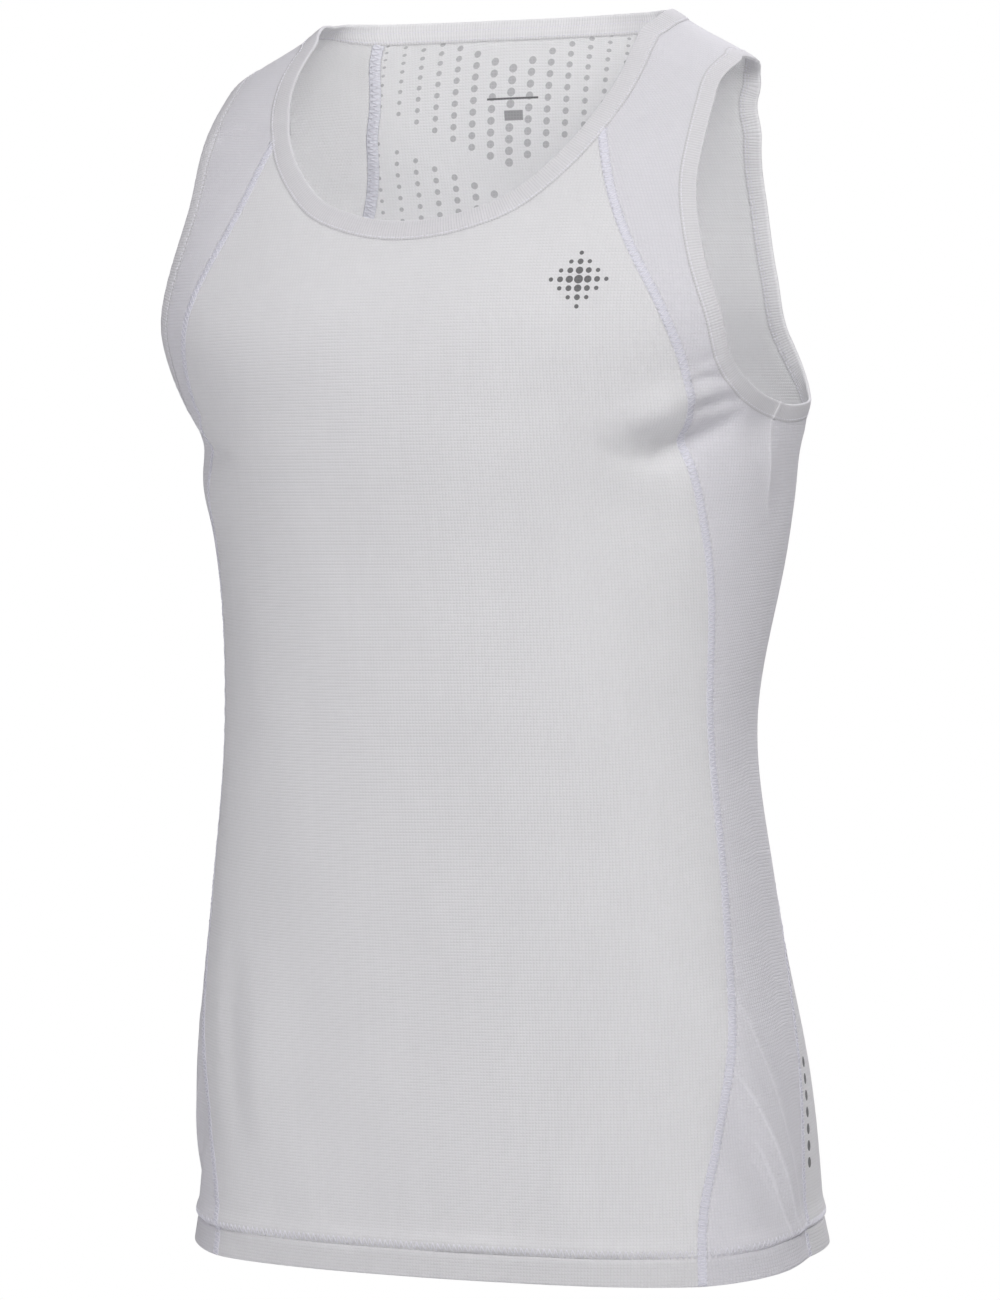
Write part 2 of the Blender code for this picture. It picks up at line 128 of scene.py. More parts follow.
FOLD_END = 0.02
FOLD_FULLNESS = 0.8

# Behind each arm the armhole's edge stands off the body: by how much, within which distance of the edge, and
# at which angle and spread of angles. Where the spread leaves less than the least share, nothing is added.
# The rise falls off from the edge as a power.
ARM_FLARE = 0.0036
ARM_FLARE_WIDTH = 0.017
ARM_FLARE_ANGLE = 125
ARM_FLARE_SPREAD = 13.0
ARM_FLARE_LEAST = 0.02
ARM_FLARE_POWER = 1.5

# The cloth hangs a little askew below this height: so much lower on the wearer's left for each metre across
HANG_TILT = 0.024
TILT_START = -0.350

# Creases and drag lines: curves through a start, a middle and an end. An edge of 1 is a pressed line with a
# sharp crest, which the knit paints paler, partly as worn knit and partly as a painted highlight, and 0 is a
# soft roll.
Crease = namedtuple(
    "Crease", "start_angle start_height mid_angle mid_height end_angle end_height width depth edge"
)
CREASES = [Crease(*row) for row in (
    # under the wearer's left arm
    (68, -0.2205, 60, -0.2335, 48, -0.2450, 0.0070, -0.0048, 0),
    (72, -0.2350, 50, -0.2430, 31, -0.2250, 0.0150, -0.0082, 0),
    (54, -0.2440, 45, -0.2470, 36, -0.2340, 0.0050, -0.0018, 0),
    (84, -0.2470, 67, -0.2575, 46, -0.2690, 0.0160, -0.0036, 0),
    (72, -0.2740, 50, -0.2700, 24, -0.2570, 0.0300, -0.0062, 0),
    (51, -0.1990, 48, -0.2190, 37, -0.2200, 0.0120, 0.0042, 0),
    (37, -0.2300, 41, -0.2400, 47, -0.2510, 0.0042, 0.0008, 0),
    (53.5, -0.2200, 59.5, -0.2156, 67, -0.2140, 0.0044, -0.0038, 0),
    (54, -0.2110, 59, -0.2085, 65, -0.2075, 0.0042, 0.0008, 0),
    (52, -0.2032, 56.5, -0.2013, 62, -0.2012, 0.0040, -0.0034, 0),
    (51, -0.1960, 56, -0.1905, 61, -0.1850, 0.0045, -0.0015, 0),
    (71, -0.2330, 62, -0.2440, 52, -0.2530, 0.0080, 0.0010, 0),
    (77.9, -0.2225, 76.7, -0.2500, 79.5, -0.2860, 0.0032, 0.0017, 1),
    # drag lines over the wearer's left hip
    (64.0, -0.5480, 73.0, -0.5880, 90.5, -0.6900, 0.0042, 0.0021, 1),
    (60.0, -0.5900, 71.0, -0.6270, 88.0, -0.6980, 0.0040, 0.0018, 1),
    (57.0, -0.6200, 68.0, -0.6500, 86.0, -0.6930, 0.0055, -0.0009, 0),
    (68.5, -0.5700, 79.0, -0.6020, 91.0, -0.6600, 0.0055, -0.0008, 0),
    (66.0, -0.6320, 74.0, -0.6620, 82.0, -0.6960, 0.0030, 0.0007, 1),
    # behind the wearer's left arm
    (112, -0.2120, 122, -0.2250, 140, -0.2330, 0.0060, -0.0016, 0),
    (108, -0.2330, 118, -0.2480, 134, -0.2620, 0.0080, 0.0012, 0),
    # the same on the wearer's right
    (-68, -0.2190, -58, -0.2330, -40, -0.2460, 0.0065, -0.0020, 0),
    (-63, -0.2140, -57, -0.2170, -49, -0.2150, 0.0050, -0.0016, 0),
    (-79, -0.2290, -78, -0.2520, -81, -0.2800, 0.0030, 0.0006, 1),
    (-66, -0.5650, -76, -0.6060, -92, -0.6920, 0.0042, 0.0012, 1),
    (-61, -0.6080, -72, -0.6400, -88, -0.6990, 0.0040, 0.0010, 1),
    (-58, -0.6300, -69, -0.6580, -86, -0.6960, 0.0055, -0.0008, 0),
    (-113, -0.2110, -124, -0.2260, -141, -0.2360, 0.0060, -0.0015, 0),
    # soft length folds low on the front, the hip and the small of the back
    (-57, -0.4700, -50, -0.5700, -44, -0.6900, 0.0140, 0.0020, 0),
    (-49, -0.5000, -43, -0.6000, -34, -0.7000, 0.0120, -0.0018, 0),
    (-28, -0.6200, -27, -0.6600, -25, -0.7050, 0.0120, 0.0012, 0),
    (22, -0.6300, 24, -0.6700, 27, -0.7080, 0.0130, 0.0010, 0),
    (160, -0.3500, 146, -0.4050, 126, -0.4500, 0.0130, -0.0024, 0),
    (-162, -0.3600, -147, -0.4120, -124, -0.4480, 0.0130, -0.0022, 0),
    (172, -0.4700, 168, -0.5700, 164, -0.7000, 0.0170, 0.0026, 0),
    (-158, -0.5000, -163, -0.6000, -168, -0.7000, 0.0160, 0.0022, 0),
    (136, -0.5600, 130, -0.6300, 124, -0.7050, 0.0140, 0.0020, 0),
    (-140, -0.5500, -133, -0.6300, -128, -0.7050, 0.0140, 0.0018, 0),
    # slack of the straps at the neck and the shoulder
    (33, -0.0600, 40, -0.0500, 50, -0.0480, 0.0080, -0.0010, 0),
    (-33, -0.0620, -41, -0.0560, -52, -0.0600, 0.0085, -0.0014, 0),
)]

# Creases fade towards their ends as a power of a sine, the broad ones more slowly. Between these distances
# from an armhole's edge they fade out under its binding.
BROAD = 0.0100
BROAD_FADE = 2.0
NARROW_FADE = 0.6
CREASES_END = 0.004
CREASES_FULL = 0.016

# Bands round the body at a height above the hem's edge
Band = namedtuple("Band", "depth above width")
HEM_BULGE = Band(0.0017, 0.0205, 0.0044)
HEM_CREASE = Band(-0.0015, HEM_FOLD, 0.0012)
HEM_PUCKERS = Band(0.00013, 0.0180, 0.0060)
HEM_PUCKERS_ROUND = 137
HEM_FLARE = 0.0020
HEM_ROUNDING = 0.0010

# Beside a sewn line the cloth sinks into a groove and puckers, unevenly in two waves along it
GROOVE_WIDTH = 0.0045
PUCKER_HEIGHT = 0.00016
PUCKER_WIDTH = 0.0100
PUCKER_WAVES = (61.0, 23.0)

# Folded bindings: their faces' length, where their ends are joined as a share of the length, and the row of
# stitches on the inner leg: how far inside the sewn edge, and how high
Binding = namedtuple("Binding", "width face_length join_at stitches_at stitches_height")
NECK_BINDING = Binding(0.0115, 0.0026, None, -0.0060, 0.00015)
ARM_BINDING = Binding(0.0095, 0.0024, 0.525, -0.0027, 0.00010)

# A binding's legs run on under their sewn line, are crowned, and sink where they are stitched. Puckers, and
# a join's ridge and the dip beside it, are shares of the binding's thickness.
LEG_TUCK = 0.0009
LEG_TUCK_DEPTH = 0.0002
LEG_CROWN = 0.00015
LEG_SINK = 0.00022
LEG_SINK_AT = 0.0010
LEG_SINK_WIDTH = 0.0006
LEG_PUCKER = 0.10
LEG_PUCKER_LENGTH = 0.0067
JOIN_RIDGE = 0.90
JOIN_RIDGE_WIDTH = 0.0013
JOIN_DIP = 0.12
JOIN_DIP_AT = 0.004
JOIN_DIP_WIDTH = 0.003
JOIN_REACH = 0.0036

# Sewing: length of a ribbon's faces, heights above the cloth, distances from the sewn line, length of the
# binding stitches, and the share of a stitch that is clear at each end
RIBBON_FACE = 0.0024
RIBBON_CLEAR = 0.00006
RIBBON_HEIGHT = 0.0003
RIBBON_THREAD = 0.00026
TAPE_HEIGHT = 0.00035
TAPE_THREAD = 0.00030
TAPE_MARGIN = 0.0011
HEM_STITCHES = (-0.0004, -0.0050)
EDGE_STITCHES_AT = -0.0006
EDGE_STITCH = 0.0030
STITCH_GAP = 0.06

HANDS = (("left", 1), ("right", -1))

# Broad unevenness of the hanging cloth: waves across the angle (turns round the body) and the height
Wave = namedtuple("Wave", "turns per_metre phase depth")
WAVES = [Wave(*row) for row in (
    (5, 1.3, 0.4, 0.00040),
    (9, -2.9, 1.9, 0.00028),
    (14, 4.7, 3.1, 0.00018),
    (3, 7.1, 5.0, 0.00022),
)]

# Rows of the hem, as heights above its edge
HEM_LEVELS = (
    0.0, 0.0003, 0.0008, 0.0020, 0.0045, 0.0075, 0.0105, 0.0130, 0.0143, 0.0150, 0.0155, 0.0160, 0.0167,
    0.0177, 0.0190, 0.0206, 0.0225, 0.0250,
)

# Faces along and across the pieces
Faces = namedtuple("Faces", "body front_strap_seam front_strap_neck back_strap_seam back_strap_neck "
                   "half_front half_back strap_across underarm")
PANEL_FACES = Faces(214, 58, 26, 62, 12, 74, 66, 20, 48)
SIDE_FACES = Faces(222, 62, 28, 72, 14, 50, 58, 22, 56)
SHOULDER_CROWDING = 1.2

# Points of a dense edge, steps of the slopes in degrees and metres, and the height that the cut starts from
DENSE = 281
SLOPE_TURN = 0.05
SLOPE_RISE = 0.0005
MID_HEIGHT = -0.3

# ------------------------------------------------------------------------------ settings


def length_property(name, description, default):
    return FloatProperty(name=name, description=description, default=default, unit="LENGTH")


def colour_property(name, description, default):
    return FloatVectorProperty(
        name=name, description=description, default=default, subtype="COLOR", min=0.0, max=1.0
    )


class SingletSizes(bpy.types.PropertyGroup):
    """Sizes of the cloth and of its sewing."""

    wall: length_property("Knit", "Thickness of the knit", 0.0009)
    binding_wall: length_property("Binding knit", "Thickness of one layer of a binding", 0.0006)
    binding_height: length_property("Binding", "Thickness of a folded binding", 0.0018)
    hem_wall: length_property("Hem", "Thickness of the turned-up hem", 0.0017)
    knit_pitch: length_property("Knit pitch", "Width of one cell of the knit", 0.0019)
    seam_width: length_property("Seam width", "Width of the flat seams", 0.0050)
    tape_width: length_property("Tape width", "Width of the tapes inside", 0.0074)
    thread: length_property("Thread", "Thickness of the sewing thread", 0.00055)
    stitch_pitch: length_property("Stitch pitch", "Length of one stitch", 0.0034)
    sheerness: FloatProperty(
        name="Sheerness",
        description="How much of the light that meets the knit passes into it",
        default=0.6,
        min=0.0,
        max=1.0,
        subtype="FACTOR",
    )


class SingletColours(bpy.types.PropertyGroup):
    """Colours of the cloth, the thread and the prints."""

    body: colour_property("Body", "Front and back panels", (0.865, 0.86, 0.88))
    side: colour_property("Side", "Side panels", (0.825, 0.815, 0.86))
    # The inner faces are paler than the outer faces of the same cloth: painted light on the shaded inside of
    # the singlet
    inside: colour_property("Inside", "Inner face of the panels", (0.93, 0.93, 0.945))
    side_inside: colour_property("Side inside", "Inner face of the side panels", (0.97, 0.97, 0.98))
    binding: colour_property("Binding", "Neck and armhole bindings", (0.80, 0.79, 0.82))
    # The bindings' inner leg is paler than their outer leg: painted light on its shaded side
    binding_inside: colour_property("Binding inside", "Inner leg of the bindings", (0.97, 0.965, 0.985))
    ribbon: colour_property("Ribbon", "Ground of the flat seams", (0.79, 0.785, 0.865))
    thread: colour_property("Thread", "Seams and stitching", (0.93, 0.92, 0.99))
    tape: colour_property("Tape", "Tapes inside the seams", (0.92, 0.925, 1.0))
    reflective: colour_property("Print", "Reflective print on the back", (0.17, 0.17, 0.175))
    mark: colour_property("Mark", "Print on the chest", (0.20, 0.20, 0.205))
    floor: colour_property("Floor", "Studio floor", (0.90, 0.90, 0.905))


def sizes():
    return bpy.context.scene.singlet_sizes


def colours():
    return bpy.context.scene.singlet_colours


# ------------------------------------------------------------------------------ the body form


def cubic_through(keys, values, at):
    """A smooth curve through the values: cubic pieces, each slope taken from the neighbouring keys."""
    slopes = np.gradient(values, keys, axis=0)
    left = np.clip(np.searchsorted(keys, at) - 1, 0, len(keys) - 2)
    span = keys[left + 1] - keys[left]
    share = np.clip((at - keys[left]) / span, 0.0, 1.0)
    if values.ndim > 1:
        share = share[:, None]
        span = span[:, None]
    return (
        values[left] * (2 * share**3 - 3 * share**2 + 1)
        + slopes[left] * span * (share**3 - 2 * share**2 + share)
        + values[left + 1] * (3 * share**2 - 2 * share**3)
        + slopes[left + 1] * span * (share**3 - share**2)
    )


def section_value(name, height):
    levels = np.array([row.height for row in SECTIONS])
    return cubic_through(levels, np.array([getattr(row, name) for row in SECTIONS]), height)


def body_form(angle, height):
    """Points of the form. A section is a superellipse read by polar angle: with n the squareness, the reach
    is (|sin|^n + |cos|^n)^(-1/n), times the half width across and the front or back depth along Y."""
    angle, height = np.broadcast_arrays(np.asarray(angle, float), np.asarray(height, float))
    sine = np.sin(np.radians(angle))
    cosine = np.cos(np.radians(angle))
    power = section_value("squareness", height)
    reach = (np.abs(sine) ** power + np.abs(cosine) ** power) ** (-1 / power)
    side = section_value("side", height)
    depth = np.where(cosine > 0, side - section_value("front", height), section_value("back", height) - side)
    across = section_value("half_width", height) * reach * sine
    return np.stack([across, side - depth * reach * cosine, height], axis=-1)


def on_form(places):
    return body_form(places[..., 0], places[..., 1])


def signed_angle(places):
    """Angles from -180 to 180."""
    return (places[..., 0] + 180) % 360 - 180


def dot(a, b):
    return np.sum(a * b, axis=-1)


def unit(vectors):
    return vectors / np.linalg.norm(vectors, axis=-1, keepdims=True)


def form_slopes(angle, height):
    """The form's slope for each degree and for each metre of height, by central differences."""
    by_angle = body_form(angle + SLOPE_TURN, height) - body_form(angle - SLOPE_TURN, height)
    by_height = body_form(angle, height + SLOPE_RISE) - body_form(angle, height - SLOPE_RISE)
    return by_angle / (2 * SLOPE_TURN), by_height / (2 * SLOPE_RISE)


def form_normal(places):
    by_angle, by_height = form_slopes(places[..., 0], places[..., 1])
    return unit(np.cross(by_angle, by_height))


def moved_along_form(places, move):
    """The places reached by short moves in space that lie along the form: the two slopes' least squares."""
    by_angle, by_height = form_slopes(places[:, 0], places[:, 1])
    aa = dot(by_angle, by_angle)
    hh = dot(by_height, by_height)
    ah = dot(by_angle, by_height)
    am = dot(by_angle, move)
    hm = dot(by_height, move)
    share = aa * hh - ah**2
    return places + np.stack([(hh * am - ah * hm) / share, (aa * hm - ah * am) / share], axis=-1)


def beside(places, width, closed):
    """The line that runs `width` beside a line of places, on its outer side, reached in short steps."""
    steps = 6
    for _ in range(steps):
        points = on_form(places)
        if closed:
            along = np.roll(points, -1, axis=0) - np.roll(points, 1, axis=0)
        else:
            along = np.gradient(points, axis=0)
        across = unit(np.cross(along, form_normal(places)))
        places = moved_along_form(places, across * width / steps)
    return places


def run_length(points):
    """Distance along a line of points, from its first."""
    steps = np.linalg.norm(np.diff(points, axis=0), axis=-1)
    return np.concatenate([[0.0], np.cumsum(steps)])


def form_length(line):
    return run_length(on_form(line))


def read_line(line, shares, guide=None):
    """Places on a dense line at the given shares of its length, or of the length of a guide beside it."""
    length = form_length(line if guide is None else guide)
    at = np.asarray(shares) * length[-1]
    return np.stack([np.interp(at, length, line[:, 0]), np.interp(at, length, line[:, 1])], axis=-1)


def mirrored(line):
    return line * (-1, 1)


# ------------------------------------------------------------------------------ the pattern


def neck_lines():
    """Free and sewn edge of the neck binding, centre front to centre back, place for place."""
    beyond = 10
    angles = np.linspace(-beyond, 180 + beyond, DENSE)
    rows = np.array(NECKLINE)
    before = rows[1:3][::-1] * (-1, 1)
    after = rows[-3:-1][::-1] * (-1, 1) + (360, 0)
    rows = np.concatenate([before, rows, after])
    free = np.stack([angles, cubic_through(rows[:, 0], rows[:, 1], angles)], axis=-1)
    sewn = beside(free, NECK_BINDING.width, closed=False)
    kept = slice(np.argmin(np.abs(angles)), np.argmin(np.abs(angles - 180)) + 1)
    free = free[kept]
    sewn = sewn[kept]
    free[[0, -1], 0] = sewn[[0, -1], 0] = 0, 180
    return free, sewn


def armhole_lines():
    """Free and sewn edge of the left armhole binding: shoulder, front, underarm, back, shoulder."""
    rows = np.array(ARMHOLE)
    wrapped = np.concatenate([rows[-3:], rows, rows[:4]])
    length = form_length(wrapped)
    at = np.linspace(length[3], length[3 + len(rows)], DENSE)[:-1]
    free = cubic_through(length, wrapped, at)
    sewn = beside(free, ARM_BINDING.width, closed=True)
    return np.concatenate([free, free[:1]]), np.concatenate([sewn, sewn[:1]])


def hem_rise(angle):
    """The hem is level over the front panel, climbs over the side panels and is level over the back."""
    start, end = FRONT_SEAM[0][0], BACK_SEAM[0][0]
    round_body = np.abs((angle + 180) % 360 - 180)
    return HEM_BACK_RISE * np.clip((round_body - start) / (end - start), 0, 1)


def seam_angle(rows, height):
    rows = np.array(rows)
    return cubic_through(rows[:, 1], rows[:, 0], height)


def meeting(line, rows):
    """Index on the sewn neck line where a princess seam reaches it."""
    beyond = line[:, 0] > seam_angle(rows, line[:, 1])
    return int(np.argmax(beyond[1:] != beyond[:-1])) + 1


def spread(start, end, faces, crowding=1.0):
    """Steps from start to end, both included. A crowding over 1 sets them closer near the start."""
    return start + (end - start) * np.linspace(0, 1, faces + 1) ** crowding


def patch(bottom, top, first, last):
    """Places between four edges: a Coons patch, its shares read from the lengths of the edges.

    first and last run from bottom to top, and bottom and top from first to last.
    """

    def shares(one, other):
        lengths = [form_length(line) / form_length(line)[-1] for line in (one, other)]
        return (lengths[0] + lengths[1]) / 2

    s = shares(bottom, top)[None, :, None]
    t = shares(first, last)[:, None, None]
    corners = (1 - t) * ((1 - s) * bottom[0] + s * bottom[-1]) + t * ((1 - s) * top[0] + s * top[-1])
    return (1 - t) * bottom + t * top + (1 - s) * first[:, None] + s * last[:, None] - corners


def straight(first, last, faces):
    return first + (last - first) * np.linspace(0, 1, faces + 1)[:, None]


class Pattern:
    """Cut edges of the wearer's left half, as lines of places that neighbouring pieces share."""

    def __init__(self, faces):
        self.faces = faces
        neck_free, neck_sewn = neck_lines()
        front_meet = meeting(neck_sewn, FRONT_SEAM)
        back_meet = meeting(neck_sewn, BACK_SEAM)
        shoulder = int(np.argmin(np.abs(neck_sewn[:, 0] - 90)))
        stops = (0, front_meet, shoulder, back_meet, len(neck_sewn) - 1)
        counts = (faces.half_front, faces.front_strap_neck, faces.back_strap_neck, faces.half_back)
        self.neck_sewn = [
            read_line(neck_sewn[start : end + 1], spread(0, 1, count))
            for start, end, count in zip(stops[:-1], stops[1:], counts)
        ]
        self.neck_edges = [
            np.concatenate([line, mirrored(line[::-1])[1:] + (360, 0)]) for line in (neck_free, neck_sewn)
        ]
        self.arm_edges = arm_free, arm_sewn = armhole_lines()
        front = faces.front_strap_seam + faces.front_strap_neck
        back = faces.back_strap_seam + faces.back_strap_neck
        runs = (
            spread(0, ARMHOLE_FRONT_FOOT, front, SHOULDER_CROWDING),
            spread(ARMHOLE_FRONT_FOOT, ARMHOLE_BACK_FOOT, faces.underarm),
            spread(1, ARMHOLE_BACK_FOOT, back, SHOULDER_CROWDING)[::-1],
        )
        self.arm_sewn = [read_line(arm_sewn, run) for run in runs]
        self.front_seam = self.seam(FRONT_SEAM, self.neck_sewn[0][-1], faces.front_strap_seam)
        self.back_seam = self.seam(BACK_SEAM, self.neck_sewn[3][0], faces.back_strap_seam)
        self.foot = len(HEM_LEVELS) - 1 + faces.body

    def seam(self, rows, top, faces_above):
        """A princess seam from the hem to the neck, with the strap's foot among its places."""
        hem = HEM_HEIGHT + hem_rise(rows[0][0])
        levels = hem + np.array(HEM_LEVELS)
        heights = np.concatenate(
            [
                levels[:-1],
                spread(levels[-1], STRAP_FOOT, self.faces.body),
                spread(STRAP_FOOT, top[1], faces_above)[1:],
            ]
        )
        line = np.stack([seam_angle(rows, heights), heights], axis=-1)
        line[-1] = top
        return line

    def body_grid(self, first, last, top):
        """Rows from the hem up to a top edge: level rows in the hem, and a patch above them."""
        above = len(HEM_LEVELS) - 1
        faces = len(top) - 1
        hem_rows = [straight(first[i], last[i], faces) for i in range(above)]
        bottom = straight(first[above], last[above], faces)
        return np.concatenate([np.stack(hem_rows), patch(bottom, top, first[above:], last[above:])])

    def front_grid(self):
        half = self.neck_sewn[0]
        top = np.concatenate([mirrored(half[::-1]), half[1:]])
        return self.body_grid(mirrored(self.front_seam), self.front_seam, top)

    def back_grid(self):
        half = self.neck_sewn[3]
        top = np.concatenate([half, (mirrored(half[::-1]) + (360, 0))[1:]])
        return self.body_grid(self.back_seam, mirrored(self.back_seam) + (360, 0), top)

    def side_grids(self):
        """The body below the arm, then the front strap and the back strap, up to the shoulder line."""
        foot = self.foot
        across = self.faces.strap_across
        front_foot = straight(self.front_seam[foot], self.arm_sewn[0][-1], across)
        back_foot = straight(self.arm_sewn[2][0], self.back_seam[foot], across)
        top = np.concatenate([front_foot, self.arm_sewn[1][1:], back_foot[1:]])
        body = self.body_grid(self.front_seam[: foot + 1], self.back_seam[: foot + 1], top)
        neck_side = np.concatenate([self.front_seam[foot:], self.neck_sewn[1][1:]])
        arm_side = self.arm_sewn[0][::-1]
        shoulder = straight(neck_side[-1], arm_side[-1], across)
        front_strap = patch(front_foot, shoulder, neck_side, arm_side)
        neck_side = np.concatenate([self.back_seam[foot:], self.neck_sewn[2][::-1][1:]])
        arm_side = self.arm_sewn[2]
        shoulder = straight(arm_side[-1], neck_side[-1], across)
        back_strap = patch(back_foot, shoulder, arm_side, neck_side)
        return [body, front_strap, back_strap]


@cache
def pattern(faces=PANEL_FACES):
    return Pattern(faces)


# ------------------------------------------------------------------------------ folds and relief


def nearest(points, line, sides=None):
    """Distance from each point to a dense line, and how far along the line that is. With the line's side
    vectors the distance is signed."""
    square = dot(points, points)[:, None] - 2 * points @ line.T + dot(line, line)
    at = np.argmin(square, axis=1)
    tangent = unit(np.gradient(line, axis=0))
    offset = points - line[at]
    along = dot(offset, tangent[at])
    aside = np.sqrt(np.maximum(dot(offset, offset) - along**2, 0.0))
    if sides is not None:
        aside = np.copysign(aside, dot(offset, sides[at]))
    return aside, run_length(line)[at] + along


def bell(aside, width):
    return np.exp(-((aside / width) ** 2))


def fold_height(points, signed):
    """How far the folds move the cloth: a bell across each fold, and a rounded taper towards its ends."""
    moved = np.zeros(len(points))
    for fold in FOLDS:
        start = body_form(fold.start_angle, fold.start_height)
        run = body_form(fold.end_angle, fold.end_height) - start
        share = np.clip(dot(points - start, run) / dot(run, run), 0.0, 1.0)
        aside = np.linalg.norm(points - start - share[:, None] * run, axis=-1)
        taper = np.sin(pi * np.clip(share, FOLD_END, 1 - FOLD_END)) ** FOLD_FULLNESS
        same_side = np.sign(signed) == np.sign(fold.start_angle)
        moved += np.where(same_side, fold.depth * taper * bell(aside, fold.width), 0.0)
    return moved


@cache
def crease_lines():
    """Each crease as a line in space, the parabola through its three places, with the vectors to its side."""
    t = np.linspace(0, 1, 64)[:, None]
    lines = []
    for row in CREASES:
        start, middle, end = np.array(row[:6]).reshape(3, 2)
        places = start * (2 * t - 1) * (t - 1) + middle * 4 * t * (1 - t) + end * t * (2 * t - 1)
        line = on_form(places)
        lines.append((line, np.cross(form_normal(places), unit(np.gradient(line, axis=0)))))
    return lines


def fading(line, run, power):
    """A crease's strength at distances along it: a power of the sine, 0 at its ends and 1 half way."""
    return np.sin(pi * np.clip(run / run_length(line)[-1], 0.0, 1.0)) ** power


def crease_height(points, signed):
    """The same for the creases, which fade in and out along their curves. A pressed one falls off from its
    crest as exp(-distance / width). All fade out under the bindings."""
    moved = np.zeros(len(points))
    for row, (line, _) in zip(CREASES, crease_lines()):
        near = np.flatnonzero(np.sign(signed) == np.sign(row.start_angle))
        aside, run = nearest(points[near], line)
        across = np.exp(-aside / row.width) if row.edge else bell(aside, row.width)
        power = BROAD_FADE if row.width >= BROAD else NARROW_FADE
        moved[near] += row.depth * fading(line, run, power) * across
    return moved * beyond_binding(points, signed)


def from_armhole(points, signed):
    """Distance from points of the form to the free edge of the nearer armhole."""
    edge = pattern().arm_edges[0]
    mirrored_to_left = points * np.where(signed[:, None] < 0, (-1, 1, 1), (1, 1, 1))
    return nearest(mirrored_to_left, on_form(edge))[0]


def beyond_binding(points, signed):
    """0 at an armhole's edge and 1 clear of its binding, in a smooth step."""
    share = (from_armhole(points, signed) - CREASES_END) / (CREASES_FULL - CREASES_END)
    share = np.clip(share, 0.0, 1.0)
    return share * share * (3 - 2 * share)


def pressed_lines(places):
    """For each place the signed distance to its nearest pressed crease, how strong that is there, and the
    height above the hem's edge."""
    signed = signed_angle(places)
    points = on_form(places)
    distance = np.full(len(points), 1.0)
    strength = np.zeros(len(points))
    for row, (line, sides) in zip(CREASES, crease_lines()):
        if not row.edge:
            continue
        aside, run = nearest(points, line, sides)
        closer = (np.abs(aside) < np.abs(distance)) & (np.sign(signed) == np.sign(row.start_angle))
        distance = np.where(closer, aside, distance)
        strength = np.where(closer, fading(line, run, NARROW_FADE), strength)
    return np.stack([distance, strength, above_hem(places)], axis=-1)


def beside_seam(places):
    """For each place the distance to the nearer back seam, how far up that seam it is, and 0."""
    points = on_form(places)
    line = pattern().back_seam
    left, right = (nearest(points, on_form(side)) for side in (line, mirrored(line)))
    away, run = (np.where(left[0] < right[0], *pair) for pair in zip(left, right))
    return np.stack([away, run, np.zeros(len(points))], axis=-1)


@cache
def sewn_lines():
    """Seam lines and sewn edges of bindings in space: line, depth of its groove, and its puckers' length."""
    cut = pattern()
    rows = []
    for places, groove, pucker in (
        (cut.front_seam[::3], 0.00030, 0.0115),
        (cut.back_seam[::3], 0.00030, 0.0124),
        (cut.arm_edges[1], 0.00010, 0.0083),
    ):
        for line in (places, mirrored(places)):
            rows.append((on_form(line), groove, pucker))
    edge = cut.neck_edges[1]
    rows.append((on_form(edge), 0.00010, 0.0089))
    return rows


def sewing_height(points):
    """Cloth sinks a little along a seam and puckers beside it, in waves of uneven size."""
    moved = np.zeros(len(points))
    short, long = PUCKER_WAVES
    for line, groove, pucker in sewn_lines():
        aside, run = nearest(points, line)
        uneven = 0.6 + 0.4 * np.sin(run * short) * np.sin(run * long + 1.0)
        moved -= groove * bell(aside, GROOVE_WIDTH)
        moved += PUCKER_HEIGHT * uneven * np.sin(2 * pi * run / pucker) * bell(aside, PUCKER_WIDTH)
    return moved


def flare_height(points, signed):
    """Behind the arms the armhole's edge stands off the body: the cloth lifts towards it, fastest at the
    edge itself."""
    window = bell(np.abs(signed) - ARM_FLARE_ANGLE, ARM_FLARE_SPREAD)
    near = np.flatnonzero(window > ARM_FLARE_LEAST)
    aside = from_armhole(points[near], signed[near])
    moved = np.zeros(len(points))
    rise = np.clip(1 - aside / ARM_FLARE_WIDTH, 0, 1) ** ARM_FLARE_POWER
    moved[near] = ARM_FLARE * window[near] * rise
    return moved


def above_hem(places):
    return places[..., 1] - HEM_HEIGHT - hem_rise(places[..., 0])


def half_wall(places):
    """Half the thickness of the cloth: the hem is folded double, and its lower edge is rounded."""
    above = above_hem(places)
    folded = sizes().hem_wall * np.sqrt(np.clip(0.15 + above / HEM_ROUNDING, 0.0, 1.0))
    return np.where(above < HEM_FOLD - 0.0001, folded, sizes().wall) / 2


def hem_height(places, signed):
    """The turned-up layer lies inside. The cloth bulges over the stitched line, sinks into it and puckers."""
    above = above_hem(places)
    inward = sizes().wall / 2 - half_wall(places)
    round_hem = np.radians(signed)
    uneven = 0.75 + 0.25 * np.sin(5 * round_hem + 0.6) + 0.2 * np.sin(13 * round_hem)
    bulge, crease, puckers = (
        band.depth * bell(above - band.above, band.width) for band in (HEM_BULGE, HEM_CREASE, HEM_PUCKERS)
    )
    flare = HEM_FLARE * np.clip(1 - above / HEM_FOLD, 0, 1)
    return inward + uneven * (bulge + crease) + flare + np.sin(HEM_PUCKERS_ROUND * round_hem) * puckers


def wave_height(places):
    moved = np.zeros(len(places))
    for wave in WAVES:
        moved += wave.depth * np.sin(
            wave.turns * np.radians(places[:, 0]) + 2 * pi * wave.per_metre * places[:, 1] + wave.phase
        )
    return moved


